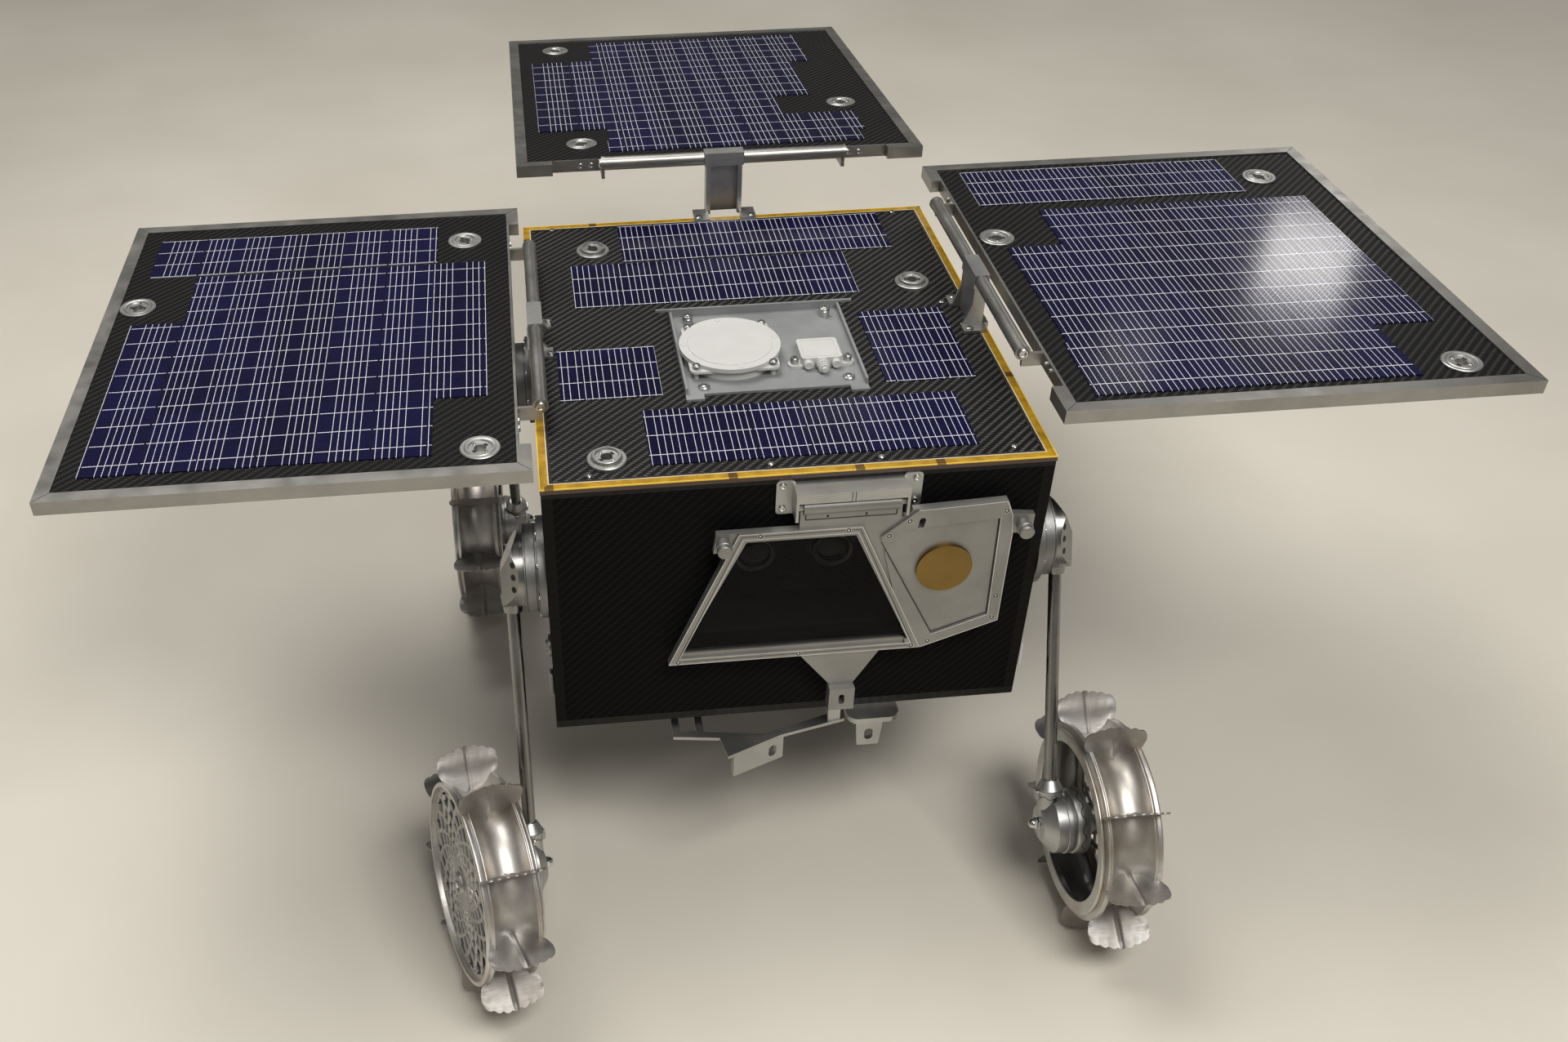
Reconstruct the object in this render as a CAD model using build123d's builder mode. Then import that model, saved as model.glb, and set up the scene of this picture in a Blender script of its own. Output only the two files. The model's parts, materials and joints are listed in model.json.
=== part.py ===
from build123d import *
import os
from math import cos, exp, pi, radians, sin

# Four-wheeled planetary rover, standing with its three solar panels open.
# Millimetres. X points right, Y back, Z up. The camera face looks to -Y.
# The origin is the centre of the underside of the chassis.

# Chassis
chassis_width = 370.0
chassis_length = 410.0
chassis_height = 235.0
wall = 8.0
deck_top = chassis_height
half_width = chassis_width / 2
half_length = chassis_length / 2

# Amber tape round the deck's edge
tape_width = 8.5
tape_drop = 4.0
tape_thickness = 0.4

# Equipment inside the chassis
equipment_width = 250.0
equipment_length = 240.0
equipment_height = 110.0

# Camera window, in the front wall. Heights on the camera face are measured above
# a line that lies this far below the deck, so its fittings stay with the deck.
camera_datum_drop = 235.0
window_top = 186.0
window_bottom = 83.0
window_top_half = 40.0
window_bottom_half = 87.0
bay_depth = 46.0
bay_wall = 2.5
lens_radius = 19.0
lens_length = 12.0
lens_spacing = 61.0
lens_x = 5.0
lens_z = 137.0

# Shutter, the hanging frame in front of the window, and its hinge box.
# Drops are below the deck and standoffs are in front of the wall.
shutter_standoff = 8.0
shutter_thickness = 5.0
shutter_rim = 2.0
shutter_rim_width = 5.0
glass_thickness = 2.0
disc_radius = 21.0
disc_thickness = 3.0
disc_x = 108.0
disc_z = 151.0
shutter_axis_drop = 21.5
shutter_axis_standoff = 11.0
shutter_axis_y = -(half_length + shutter_axis_standoff)
shutter_axis_z = chassis_height - shutter_axis_drop
shutter_axis_x = 35.0
shutter_barrel_radius = 6.0
shutter_barrel_length = 70.0
shutter_neck_length = 74.0
shutter_pin_radius = 3.0
hinge_box_length = 82.0
hinge_box_depth = 17.0
hinge_box_sheet = 2.0
hinge_box_top_drop = 7.0
hinge_box_band = 8.0
hinge_box_height = 24.0
wing_width = 14.0
wing_height = 29.0
wing_drop = 19.0
wing_lap = 4.0
wing_corner = 3.0
lug_pin_radius = 5.0
lug_pin_length = 12.0
tab_block_width = 20.0
tab_block_height = 22.0
tab_block_standoff = 6.0
slot_length = 10.0
slot_width = 4.5

# Fittings under the front edge of the belly. Drops are below the belly.
belly_strip = 40.0
belly_step = 1.0
arm_top = 17.0
arm_thickness = 3.0
hook_thickness = 4.0
hook_height = 24.0
hook_hole_inset = 10.0
oval_length = 12.0
oval_width = 7.0
belly_lip_width = 42.0
belly_lip_thickness = 5.0
belly_lip_overhang = 17.0
belly_lip_corner = 9.0
stop_x = 68.0
stop_standoff = 5.0
stop_thickness = 4.0
stop_drop = 41.0
stop_root_half = 12.0
stop_tip_half = 9.0
stop_gusset = 3.0

# Solar panels. Heights are above the deck.
left_hinge_height = 20.0
right_hinge_height = 40.0
rear_hinge_height = 53.5
panel_thickness = 10.8
frame_width = 10.5
board_drop = 1.2
board_thickness = 8.4
cell_thickness = 0.8
corner_length = 33.0
hinge_tube_radius = 5.5
side_tube_half = 125.0
rear_tube_half = 109.0
hinge_pin_radius = 3.0
hinge_block_half = 6.0
hinge_block_length = 36.0
hinge_lug_radius = 6.0
hinge_lug_thickness = 3.0
hinge_strip_thickness = 2.0
bracket_web = 10.0
bracket_foot_length = 8.0
bracket_foot_width = 14.0
bracket_foot_thickness = 2.5
gusset_thickness = 3.0
gusset_reach = 12.0
side_plate_thickness = 2.0
side_plate_drop = 13.0
mast_width = 33.0
mast_thickness = 4.0
mast_foot_length = 22.0
running_gap = 0.3
shaft_fit = 0.05

# Hold-down cups, in the deck and in the panels
cup_radius = 14.5
cup_height = 5.0
cup_inner_radius = 10.75
cup_inner_height = 6.0
cup_bore_radius = 4.45
cup_flange = 1.6
deck_cup_places = [(-124.6, 148.3), (142.7, 59.2), (-136.0, -174.8)]

# Instruments on the deck
tray_height = 9.0
tray_sheet = 2.0
tray_lip = 2.0
tray_ear = 11.0
tray_tab = 14.0
tray_tab_reach = 7.0
tray_left, tray_right = -70.0, 71.0
tray_front, tray_back = -97.0, 24.0
antenna_radius = 40.0
antenna_base = 70.0
drum_height = 6.0
plate_height = 2.0
lid_height = 3.4
lid_rim = 7.0
lid_centre_height = 0.6
drum_radius = 37.0
antenna_corner = 5.0
antenna_leg_radius = 2.0
antenna_leg_spacing = 60.0
antenna_x, antenna_y = -29.0, -43.6
small_box_width = 32.0
small_box_length = 30.0
small_box_height = 9.0
small_box_x, small_box_y = 40.0, -55.0
small_box_corner = 3.0
ear_radius = 5.0
ear_thickness = 2.5
plug_radius = 4.5
plug_lift = 4.6
plug_length = 12.0
side_plug_spacing = 22.0
side_plug_radius = 2.5
side_plug_length = 4.0

# Shoulders. Lengths are measured outwards from the side wall.
shoulder_z = 137.0
flange_radius = 39.0
flange_thickness = 5.5
drive_radius = 33.5
drive_thickness = 10.5
housing_radius = 29.0
housing_depth = 18.0
housing_edge = 4.0
housing_flat = 15.0
spindle_radius = 9.0
spindle_length = 8.0

# Legs
leg_length = 249.0
leg_swing = 22.7
tube_offset = 27.0
tube_radius = 5.0
collar_top = 39.0
collar_bottom = 30.0
collar_radius = 9.0
foot_radius = 9.5
foot_post_below = 13.0
foot_drive_radius = 25.0
foot_cone_radius = 16.0
foot_cone_length = 7.0
foot_drive_start = -7.0
foot_drive_end = 26.0
foot_ring_radius = 27.0
foot_ring_length = 4.0
axle_radius = 7.0
axle_end = 53.0
nut_radius = 6.0
nut_length = 8.0
nut_start = 9.0

# Wheels. Lengths are measured outwards from the leg's tube.
wheel_inner = 16.0
wheel_width = 47.0
lip_radius = 80.0
lip_step_radius = 75.0
lip_width = 3.5
lip_sheet = 3.5
shoulder_radius = 73.5
shoulder_inset = 14.0
waist_radius = 70.0
waist_sheet = 2.5
opening_radius = 64.0
sheet = 1.6
grouser_count = 9
grouser_phase = 10.0
grouser_radius = 105.0
grouser_side_radius = 92.0
valley_edge_radius = 98.5
valley_middle_radius = 103.0
grouser_overhang = 1.5
grouser_thickness = 1.8
scallop_count = 5
web_thickness = 2.0
web_inset = 4.0
window_count = 12
window_rings = 4
window_first_radius = 28.6
window_fill = 0.8
hub_radius = 13.0
hub_length = 26.0
boss_radius = 9.0
boss_length = 4.0

os.makedirs("parts", exist_ok=True)


def save(part, name):
    part.label = name
    export_step(part, f"parts/{name}.step")


# Chassis panels

# The strip along the belly's front edge, where the fittings are bolted, is set back.
with BuildPart() as belly_panel:
    with BuildSketch(Plane.XY):
        Rectangle(chassis_width, chassis_length)
    extrude(amount=wall)
    with BuildSketch(Plane.XY):
        with Locations((0, -half_length + belly_strip / 2)):
            Rectangle(chassis_width, belly_strip)
    extrude(amount=belly_step, mode=Mode.SUBTRACT)
save(belly_panel.part, "belly_panel")

with BuildPart() as deck_panel:
    with BuildSketch(Plane.XY.offset(deck_top - wall)):
        Rectangle(chassis_width, chassis_length)
    extrude(amount=wall)
save(deck_panel.part, "deck_panel")

side_height = chassis_height - 2 * wall
with BuildPart() as side_panels:
    with BuildSketch(Plane.XY.offset(wall)):
        with Locations((-half_width + wall / 2, 0), (half_width - wall / 2, 0)):
            Rectangle(wall, chassis_length)
    extrude(amount=side_height)
save(side_panels.part, "side_panels")

with BuildPart() as rear_panel:
    with BuildSketch(Plane.XY.offset(wall)):
        with Locations((0, half_length - wall / 2)):
            Rectangle(chassis_width - 2 * wall, wall)
    extrude(amount=side_height)
save(rear_panel.part, "rear_panel")

# The camera face looks to -Y, so front outlines are drawn in X and Z.
camera_datum = (0, -half_length, deck_top - camera_datum_drop)
front_face = Plane(origin=camera_datum, x_dir=(1, 0, 0), z_dir=(0, -1, 0))
window_outline = [
    (-window_bottom_half, window_bottom),
    (window_bottom_half, window_bottom),
    (window_top_half, window_top),
    (-window_top_half, window_top),
]

with BuildPart() as front_panel:
    with BuildSketch(front_face):
        with Locations((0, camera_datum_drop - chassis_height / 2)):
            Rectangle(chassis_width - 2 * wall, side_height)
        Polygon(*window_outline, align=None, mode=Mode.SUBTRACT)
    extrude(amount=-wall)
save(front_panel.part, "front_panel")

# The camera bay is an open tray behind the window.
with BuildPart() as camera_bay:
    with BuildSketch(front_face.offset(-wall)):
        with BuildLine():
            Polyline(*window_outline, close=True)
        make_face()
        offset(amount=bay_wall, kind=Kind.INTERSECTION)
    extrude(amount=-bay_depth)
    with BuildSketch(front_face.offset(-wall)):
        Polygon(*window_outline, align=None)
    extrude(amount=-(bay_depth - bay_wall), mode=Mode.SUBTRACT)
save(camera_bay.part, "camera_bay")

lens_places = [(lens_x - lens_spacing / 2, lens_z), (lens_x + lens_spacing / 2, lens_z)]
with BuildPart() as camera_lenses:
    with BuildSketch(front_face.offset(-wall - bay_depth + bay_wall)):
        with Locations(*lens_places):
            Circle(lens_radius)
    extrude(amount=lens_length)
    with BuildSketch(front_face.offset(-wall - bay_depth + bay_wall + lens_length)):
        with Locations(*lens_places):
            Circle(lens_radius - 3)
    extrude(amount=-3, mode=Mode.SUBTRACT)
save(camera_lenses.part, "camera_lenses")

with BuildPart() as equipment_block:
    with BuildSketch(Plane.XY.offset(wall)):
        with Locations((0, 20)):
            Rectangle(equipment_width, equipment_length)
    extrude(amount=equipment_height)
save(equipment_block.part, "equipment_block")

with BuildPart() as edge_tape:
    with BuildSketch(Plane.XY.offset(deck_top - tape_drop)):
        Rectangle(chassis_width + 2 * tape_thickness, chassis_length + 2 * tape_thickness)
    extrude(amount=tape_drop + tape_thickness)
    with BuildSketch(Plane.XY.offset(deck_top - tape_drop)):
        Rectangle(chassis_width, chassis_length)
    extrude(amount=tape_drop, mode=Mode.SUBTRACT)
    with BuildSketch(Plane.XY.offset(deck_top)):
        Rectangle(chassis_width - 2 * tape_width, chassis_length - 2 * tape_width)
    extrude(amount=tape_thickness, mode=Mode.SUBTRACT)
save(edge_tape.part, "edge_tape")

# Solar cells on the deck: left, right, front, back
deck_cell_blocks = [
    (-99, 141, 127, 195),
    (-146, 95, 49, 123),
    (-165, -87, -93, -20),
    (86, 156, -94, 15),
    (-105, 134, -184, -113),
]
with BuildPart() as deck_cells:
    with BuildSketch(Plane.XY.offset(deck_top)):
        for left, right, front, back in deck_cell_blocks:
            with Locations(((left + right) / 2, (front + back) / 2)):
                Rectangle(right - left, back - front)
    extrude(amount=cell_thickness)
save(deck_cells.part, "deck_cells")

with BuildPart() as deck_cups:
    with BuildSketch(Plane.XY.offset(deck_top)):
        with Locations(*deck_cup_places):
            Circle(cup_radius)
    extrude(amount=cup_height - 2)
    with BuildSketch(Plane.XY.offset(deck_top)):
        with Locations(*deck_cup_places):
            Circle(cup_inner_radius)
    extrude(amount=cup_inner_height)
    with BuildSketch(Plane.XY.offset(deck_top)):
        with Locations(*deck_cup_places):
            Circle(cup_bore_radius)
    extrude(amount=cup_inner_height, mode=Mode.SUBTRACT)
save(deck_cups.part, "deck_cups")

tray_width = tray_right - tray_left
tray_length = tray_back - tray_front
tray_x = (tray_left + tray_right) / 2
tray_y = (tray_front + tray_back) / 2
tray_face = Plane(origin=(tray_x, tray_back, deck_top), x_dir=(1, 0, 0), z_dir=(0, -1, 0))
with BuildPart() as instrument_tray:
    with BuildSketch(Plane.XY.offset(deck_top)):
        with Locations((tray_x, tray_y)):
            Rectangle(tray_width, tray_length)
        with Locations((tray_left + tray_tab / 2, tray_front), (tray_right - tray_tab / 2, tray_front)):
            Rectangle(tray_tab, 2 * tray_tab_reach)
    extrude(amount=tray_sheet)
    # The back lip stands highest and its ends reach out beyond the tray.
    with BuildSketch(tray_face):
        with Locations((0, tray_height / 2)):
            Rectangle(tray_width, tray_height)
        with Locations((0, tray_height - tray_sheet / 2)):
            Rectangle(tray_width + 2 * tray_ear, tray_sheet)
    extrude(amount=tray_lip)
    with BuildSketch(Plane.XY.offset(deck_top)):
        with Locations((tray_left + tray_lip / 2, tray_y), (tray_right - tray_lip / 2, tray_y)):
            Rectangle(tray_lip, tray_length)
    extrude(amount=tray_height - tray_sheet)
save(instrument_tray.part, "instrument_tray")

# Round antenna: a drum on the tray, a square plate with its corners out, and a round lid
antenna_foot = deck_top + tray_sheet
antenna_plate = antenna_foot + drum_height
antenna_lid = antenna_plate + plate_height
with BuildPart() as round_antenna:
    with BuildSketch(Plane.XY.offset(antenna_foot)):
        with Locations((antenna_x, antenna_y)):
            Circle(drum_radius)
    extrude(amount=drum_height)
    with BuildSketch(Plane.XY.offset(antenna_plate)):
        with Locations((antenna_x, antenna_y)):
            RectangleRounded(antenna_base, antenna_base, antenna_corner)
    extrude(amount=plate_height)
    with BuildSketch(Plane.XY.offset(antenna_lid)):
        with Locations((antenna_x, antenna_y)):
            Circle(antenna_radius)
    extrude(amount=lid_height)
    with BuildSketch(Plane.XY.offset(antenna_lid + lid_height)):
        with Locations((antenna_x, antenna_y)):
            Circle(antenna_radius - lid_rim)
    extrude(amount=lid_centre_height)
    # Four legs carry the plate's corners.
    with BuildSketch(Plane.XY.offset(antenna_foot)):
        with Locations((antenna_x, antenna_y)):
            with GridLocations(antenna_leg_spacing, antenna_leg_spacing, 2, 2):
                Circle(antenna_leg_radius)
    extrude(amount=drum_height)
save(round_antenna.part, "round_antenna")

# Small antenna: a box with two bolted ears, and three plugs on its front
box_front = small_box_y - small_box_length / 2
plug_centre = (small_box_x, box_front, antenna_foot + plug_lift)
plug_face = Plane(origin=plug_centre, x_dir=(1, 0, 0), z_dir=(0, -1, 0))
with BuildPart() as small_antenna:
    with BuildSketch(Plane.XY.offset(antenna_foot)):
        with Locations((small_box_x, small_box_y)):
            RectangleRounded(small_box_width, small_box_length, small_box_corner)
    extrude(amount=small_box_height)
    with BuildSketch(Plane.XY.offset(antenna_foot)):
        with Locations((small_box_x, box_front + ear_radius)):
            SlotOverall(small_box_width + 4 * ear_radius, 2 * ear_radius)
    extrude(amount=ear_thickness)
    with BuildSketch(plug_face):
        with GridLocations(side_plug_spacing, 1, 2, 1):
            Circle(side_plug_radius)
    extrude(amount=side_plug_length)
    with BuildSketch(plug_face):
        Circle(plug_radius)
    extrude(amount=plug_length, taper=12)
save(small_antenna.part, "small_antenna")

# Solar panels. Each one turns on a tube over an edge of the deck. In the plane of a
# hinge, X runs from the hinge out over the open panel, Y along the hinge and Z up.
# name, hinge point, outward, droop, inner edge, reach, length, frame top over the hinge
panels = [
    ("left", (-180.5, 0, deck_top + left_hinge_height), (-1, 0), 0.0, 8.5, 338.5, 413.7, -0.8),
    ("right", (177.3, 0, deck_top + right_hinge_height), (1, 0), 0.0, 7.3, 353.0, 413.7, -0.8),
    ("rear", (1.5, 217.9, deck_top + rear_hinge_height), (0, 1), 4.5, 14.0, 426.9, 377.8, -4.2),
]

# Cell fields of each panel: from, to, from, to, outwards from its inner edge and along its hinge
panel_cells = {
    "left": [(71, 313, -177, -111), (30, 272, -107, -30), (30, 314, -30, 106), (70, 314, 106, 180)],
    "right": [(30, 271, 121, 189), (78, 317, 40, 106), (31, 317, -115, 40), (28, 270, -188, -115)],
    "rear": [(60, 115, -148, 99), (117, 176, -77, 165), (176, 295, -116, 165), (297, 352, -137, 99)],
}

# Cup places of each panel: outwards from its inner edge and along its hinge
panel_cups = {
    "left": [(47.4, -148.3), (313.4, -59.2), (36.0, 174.8)],
    "right": [(294.7, 148.3), (27.4, 59.2), (306.1, -174.8)],
    "rear": [(55.6, 126.1), (144.7, -141.2), (378.7, 137.5)],
}


def hinge_plane(point, outward, droop):
    out = Vector(*outward, 0) * cos(radians(droop)) - Vector(0, 0, sin(radians(droop)))
    up = Vector(0, 0, cos(radians(droop))) + Vector(*outward, 0) * sin(radians(droop))
    return Plane(origin=point, x_dir=out, z_dir=up)


for name, point, outward, droop, inner, reach, length, top in panels:
    base = hinge_plane(point, outward, droop)
    bottom = base.offset(top - panel_thickness)
    board_top = top - board_drop
    middle = inner + reach / 2

    with BuildPart() as panel_frame:
        with BuildSketch(bottom):
            with Locations((middle, 0)):
                Rectangle(reach, length)
                Rectangle(reach - 2 * frame_width, length - 2 * frame_width, mode=Mode.SUBTRACT)
            with Locations((inner + frame_width / 2, 0)):
                Rectangle(frame_width, length - 2 * corner_length, mode=Mode.SUBTRACT)
        extrude(amount=panel_thickness)
    save(panel_frame.part, f"panel_{name}_frame")

    with BuildPart() as panel_board:
        with BuildSketch(base.offset(board_top - board_thickness)):
            with Locations((middle, 0)):
                Rectangle(reach - 2 * frame_width, length - 2 * frame_width)
            with Locations(*[(inner + u, v) for u, v in panel_cups[name]]):
                Circle(cup_inner_radius, mode=Mode.SUBTRACT)
        extrude(amount=board_thickness)
    save(panel_board.part, f"panel_{name}_board")

    with BuildPart() as cell_fields:
        with BuildSketch(base.offset(board_top)):
            for near, far, start, end in panel_cells[name]:
                with Locations((inner + (near + far) / 2, (start + end) / 2)):
                    Rectangle(far - near, end - start)
        extrude(amount=cell_thickness)
    save(cell_fields.part, f"panel_{name}_cells")

    with BuildPart() as panel_cup_set:
        for level, radius, height in (
            (board_top - board_thickness, cup_inner_radius, board_thickness + cup_flange),
            (board_top, cup_radius, cup_flange),
        ):
            with BuildSketch(base.offset(level)):
                with Locations(*[(inner + u, v) for u, v in panel_cups[name]]):
                    Circle(radius)
                    Circle(cup_bore_radius, mode=Mode.SUBTRACT)
            extrude(amount=height)
    save(panel_cup_set.part, f"panel_{name}_cups")

    # Two tubes on one pin turn with the panel. A lug at each outer end is bolted
    # to a strip along the board's edge.
    along = Plane(origin=base.origin, x_dir=base.x_dir, z_dir=base.y_dir)
    tube_start = hinge_block_length / 2 + running_gap
    tube_half = rear_tube_half if name == "rear" else side_tube_half
    strip_end = inner + frame_width
    with BuildPart() as panel_hinge:
        with BuildSketch(along.offset(-tube_start)):
            Circle(hinge_pin_radius)
        extrude(amount=2 * tube_start)
        for end in (-1, 1):
            with BuildSketch(along.offset(end * tube_start)):
                Circle(hinge_tube_radius)
            extrude(amount=end * (tube_half - tube_start))
            with BuildSketch(along.offset(end * tube_half)):
                Circle(hinge_lug_radius)
            extrude(amount=end * hinge_lug_thickness)
            with BuildSketch(bottom):
                with Locations((strip_end / 2, end * (tube_half + hinge_lug_thickness / 2))):
                    Rectangle(strip_end, hinge_lug_thickness)
            extrude(amount=panel_thickness)
        with BuildSketch(bottom):
            with Locations((strip_end - hinge_strip_thickness / 2, 0)):
                Rectangle(hinge_strip_thickness, length - 2 * corner_length)
        extrude(amount=panel_thickness)
    save(panel_hinge.part, f"panel_{name}_hinge")

# Brackets that carry the side panels' hinges, one on each edge of the deck
bracket_base = deck_top + tape_thickness
with BuildPart() as side_brackets:
    for name, point, outward, droop, inner, reach, length, top in panels[:2]:
        hinge_x, hinge_z = point[0], point[2]
        side = outward[0]
        section = Plane(origin=(0, hinge_block_length / 2, 0), x_dir=(1, 0, 0), z_dir=(0, -1, 0))
        with BuildSketch(section):
            with Locations((hinge_x, hinge_z)):
                Rectangle(2 * hinge_block_half, 2 * hinge_block_half)
            with Locations((hinge_x, (hinge_z + bracket_base) / 2)):
                Rectangle(bracket_web, hinge_z - bracket_base)
            with Locations((hinge_x, hinge_z)):
                Circle(hinge_pin_radius + shaft_fit, mode=Mode.SUBTRACT)
        extrude(amount=hinge_block_length)
        with BuildSketch(Plane.XY.offset(bracket_base)):
            foot_x = hinge_x - side * (bracket_foot_length / 2)
            with Locations((foot_x, 0)):
                with GridLocations(0.1, hinge_block_length + bracket_foot_width - 4, 1, 2):
                    Rectangle(bracket_foot_length + bracket_web, bracket_foot_width)
        extrude(amount=bracket_foot_thickness)
        # A gusset at each end stiffens the web, and a plate stands outside the deck's edge.
        gusset_height = hinge_z - hinge_block_half - bracket_base
        for end in (-1, 1):
            gusset = Plane(
                origin=(hinge_x, end * (hinge_block_length / 2 - gusset_thickness / 2), bracket_base),
                x_dir=(-side, 0, 0),
                z_dir=(0, side, 0),
            )
            with BuildSketch(gusset):
                Polygon((0, 0), (gusset_reach, 0), (0, gusset_height), align=None)
            extrude(amount=gusset_thickness / 2, both=True)
        with BuildSketch(Plane.XY.offset(deck_top - side_plate_drop)):
            with Locations((side * (half_width + tape_thickness + side_plate_thickness / 2), 0)):
                Rectangle(side_plate_thickness, hinge_block_length)
        extrude(amount=side_plate_drop + tape_thickness + bracket_foot_thickness)
        plate_edge = half_width + tape_thickness + side_plate_thickness
        with BuildSketch(Plane.XY.offset(bracket_base)):
            with Locations((side * (abs(hinge_x) + plate_edge) / 2, 0)):
                Rectangle(plate_edge - abs(hinge_x), hinge_block_length)
        extrude(amount=bracket_foot_thickness)
save(side_brackets.part, "side_brackets")

# Mast that carries the rear panel's hinge, standing on the rear edge of the deck
mast_x, mast_y, mast_top = panels[2][1]
mast_front = mast_y - hinge_block_half
with BuildPart() as rear_mast:
    mast_side = Plane(origin=(mast_x - hinge_block_length / 2, 0, 0), x_dir=(0, 1, 0), z_dir=(1, 0, 0))
    with BuildSketch(mast_side):
        with Locations((mast_y, mast_top)):
            Rectangle(2 * hinge_block_half, 2 * hinge_block_half)
            Circle(hinge_pin_radius + shaft_fit, mode=Mode.SUBTRACT)
    extrude(amount=hinge_block_length)
    with BuildSketch(Plane.XY.offset(bracket_base)):
        with Locations((mast_x, mast_front + hinge_block_half)):
            Rectangle(mast_width, 2 * hinge_block_half)
        with Locations((mast_x, mast_front + hinge_block_half - mast_thickness / 2)):
            channel_width = mast_width - 2 * mast_thickness
            channel_depth = 2 * hinge_block_half - mast_thickness
            Rectangle(channel_width, channel_depth, mode=Mode.SUBTRACT)
    extrude(amount=mast_top - hinge_block_half - bracket_base)
    with BuildSketch(Plane.XY.offset(bracket_base)):
        with Locations((mast_x, mast_front + hinge_block_half - mast_foot_length / 2)):
            with GridLocations(mast_width + bracket_foot_width - 4, 0.1, 2, 1):
                Rectangle(bracket_foot_width, mast_foot_length)
    extrude(amount=bracket_foot_thickness)
save(rear_mast.part, "rear_mast")

# Hinge box of the shutter, bolted to the front wall by its wings. Its front is a
# band along the top, and the shutter's neck swings out below it.
box_top = deck_top - hinge_box_top_drop
box_face = Plane(origin=(shutter_axis_x, -half_length, box_top), x_dir=(1, 0, 0), z_dir=(0, -1, 0))
with BuildPart() as shutter_bracket:
    with BuildSketch(box_face):
        with Locations((0, -hinge_box_height / 2)):
            Rectangle(hinge_box_length, hinge_box_height)
            Rectangle(hinge_box_length - 2 * hinge_box_sheet, hinge_box_height + 1, mode=Mode.SUBTRACT)
        with Locations((0, -hinge_box_sheet / 2)):
            Rectangle(hinge_box_length, hinge_box_sheet)
    extrude(amount=hinge_box_depth)
    with BuildSketch(box_face.offset(hinge_box_depth - hinge_box_sheet)):
        with Locations((0, -hinge_box_band / 2)):
            Rectangle(hinge_box_length, hinge_box_band)
    extrude(amount=hinge_box_sheet)
    with BuildSketch(front_face):
        with Locations((shutter_axis_x, camera_datum_drop - wing_drop)):
            with GridLocations(hinge_box_length + wing_width - wing_lap, 1, 2, 1):
                RectangleRounded(wing_width, wing_height, wing_corner)
    extrude(amount=hinge_box_sheet)
    with BuildSketch(Plane.YZ.offset(shutter_axis_x - hinge_box_length / 2)):
        with Locations((shutter_axis_y, shutter_axis_z)):
            Circle(shutter_pin_radius)
    extrude(amount=hinge_box_length)
save(shutter_bracket.part, "shutter_bracket")

# Shutter frame: outlines in X and Z on the camera face
shutter_back = front_face.offset(shutter_standoff)
shutter_front = shutter_back.offset(shutter_thickness)
neck_top = camera_datum_drop - shutter_axis_drop
window_frame_outline = [
    (-window_bottom_half - 10, window_bottom - 10),
    (window_bottom_half + 11, window_bottom - 10),
    (window_top_half + 4, window_top + 9),
    (-window_top_half - 6, window_top + 9),
]
side_plate_outline = [
    (window_bottom_half + 11, window_bottom - 10),
    (156, 95),
    (156, 178),
    (171, 178),
    (171, 194),
    (154, 196),
    (149, 209),
    (80, 206),
    (76, 200),
    (0, 200),
    (0, 190),
]
side_rim_outline = [
    (window_bottom_half, window_bottom - 10),
    *side_plate_outline[:3],
    (154, 196),
    (149, 209),
    (84, 206),
    (58, 184),
]
side_field_outline = [(58, 178), (72, 180), (74, 189), (145, 194), (147, 102), (105, 86)]
left_lug_outline = [(-62, 195), (-64, 178), (-50, 178), (-42, 195)]
tab_outline = [(3, 74), (68, 74), (47, 37), (31, 37)]
tab_block_place = (39, 27)
side_slot_place = (87, 194)
lug_pin_places = [(-57, 187), (163, 186)]
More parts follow.
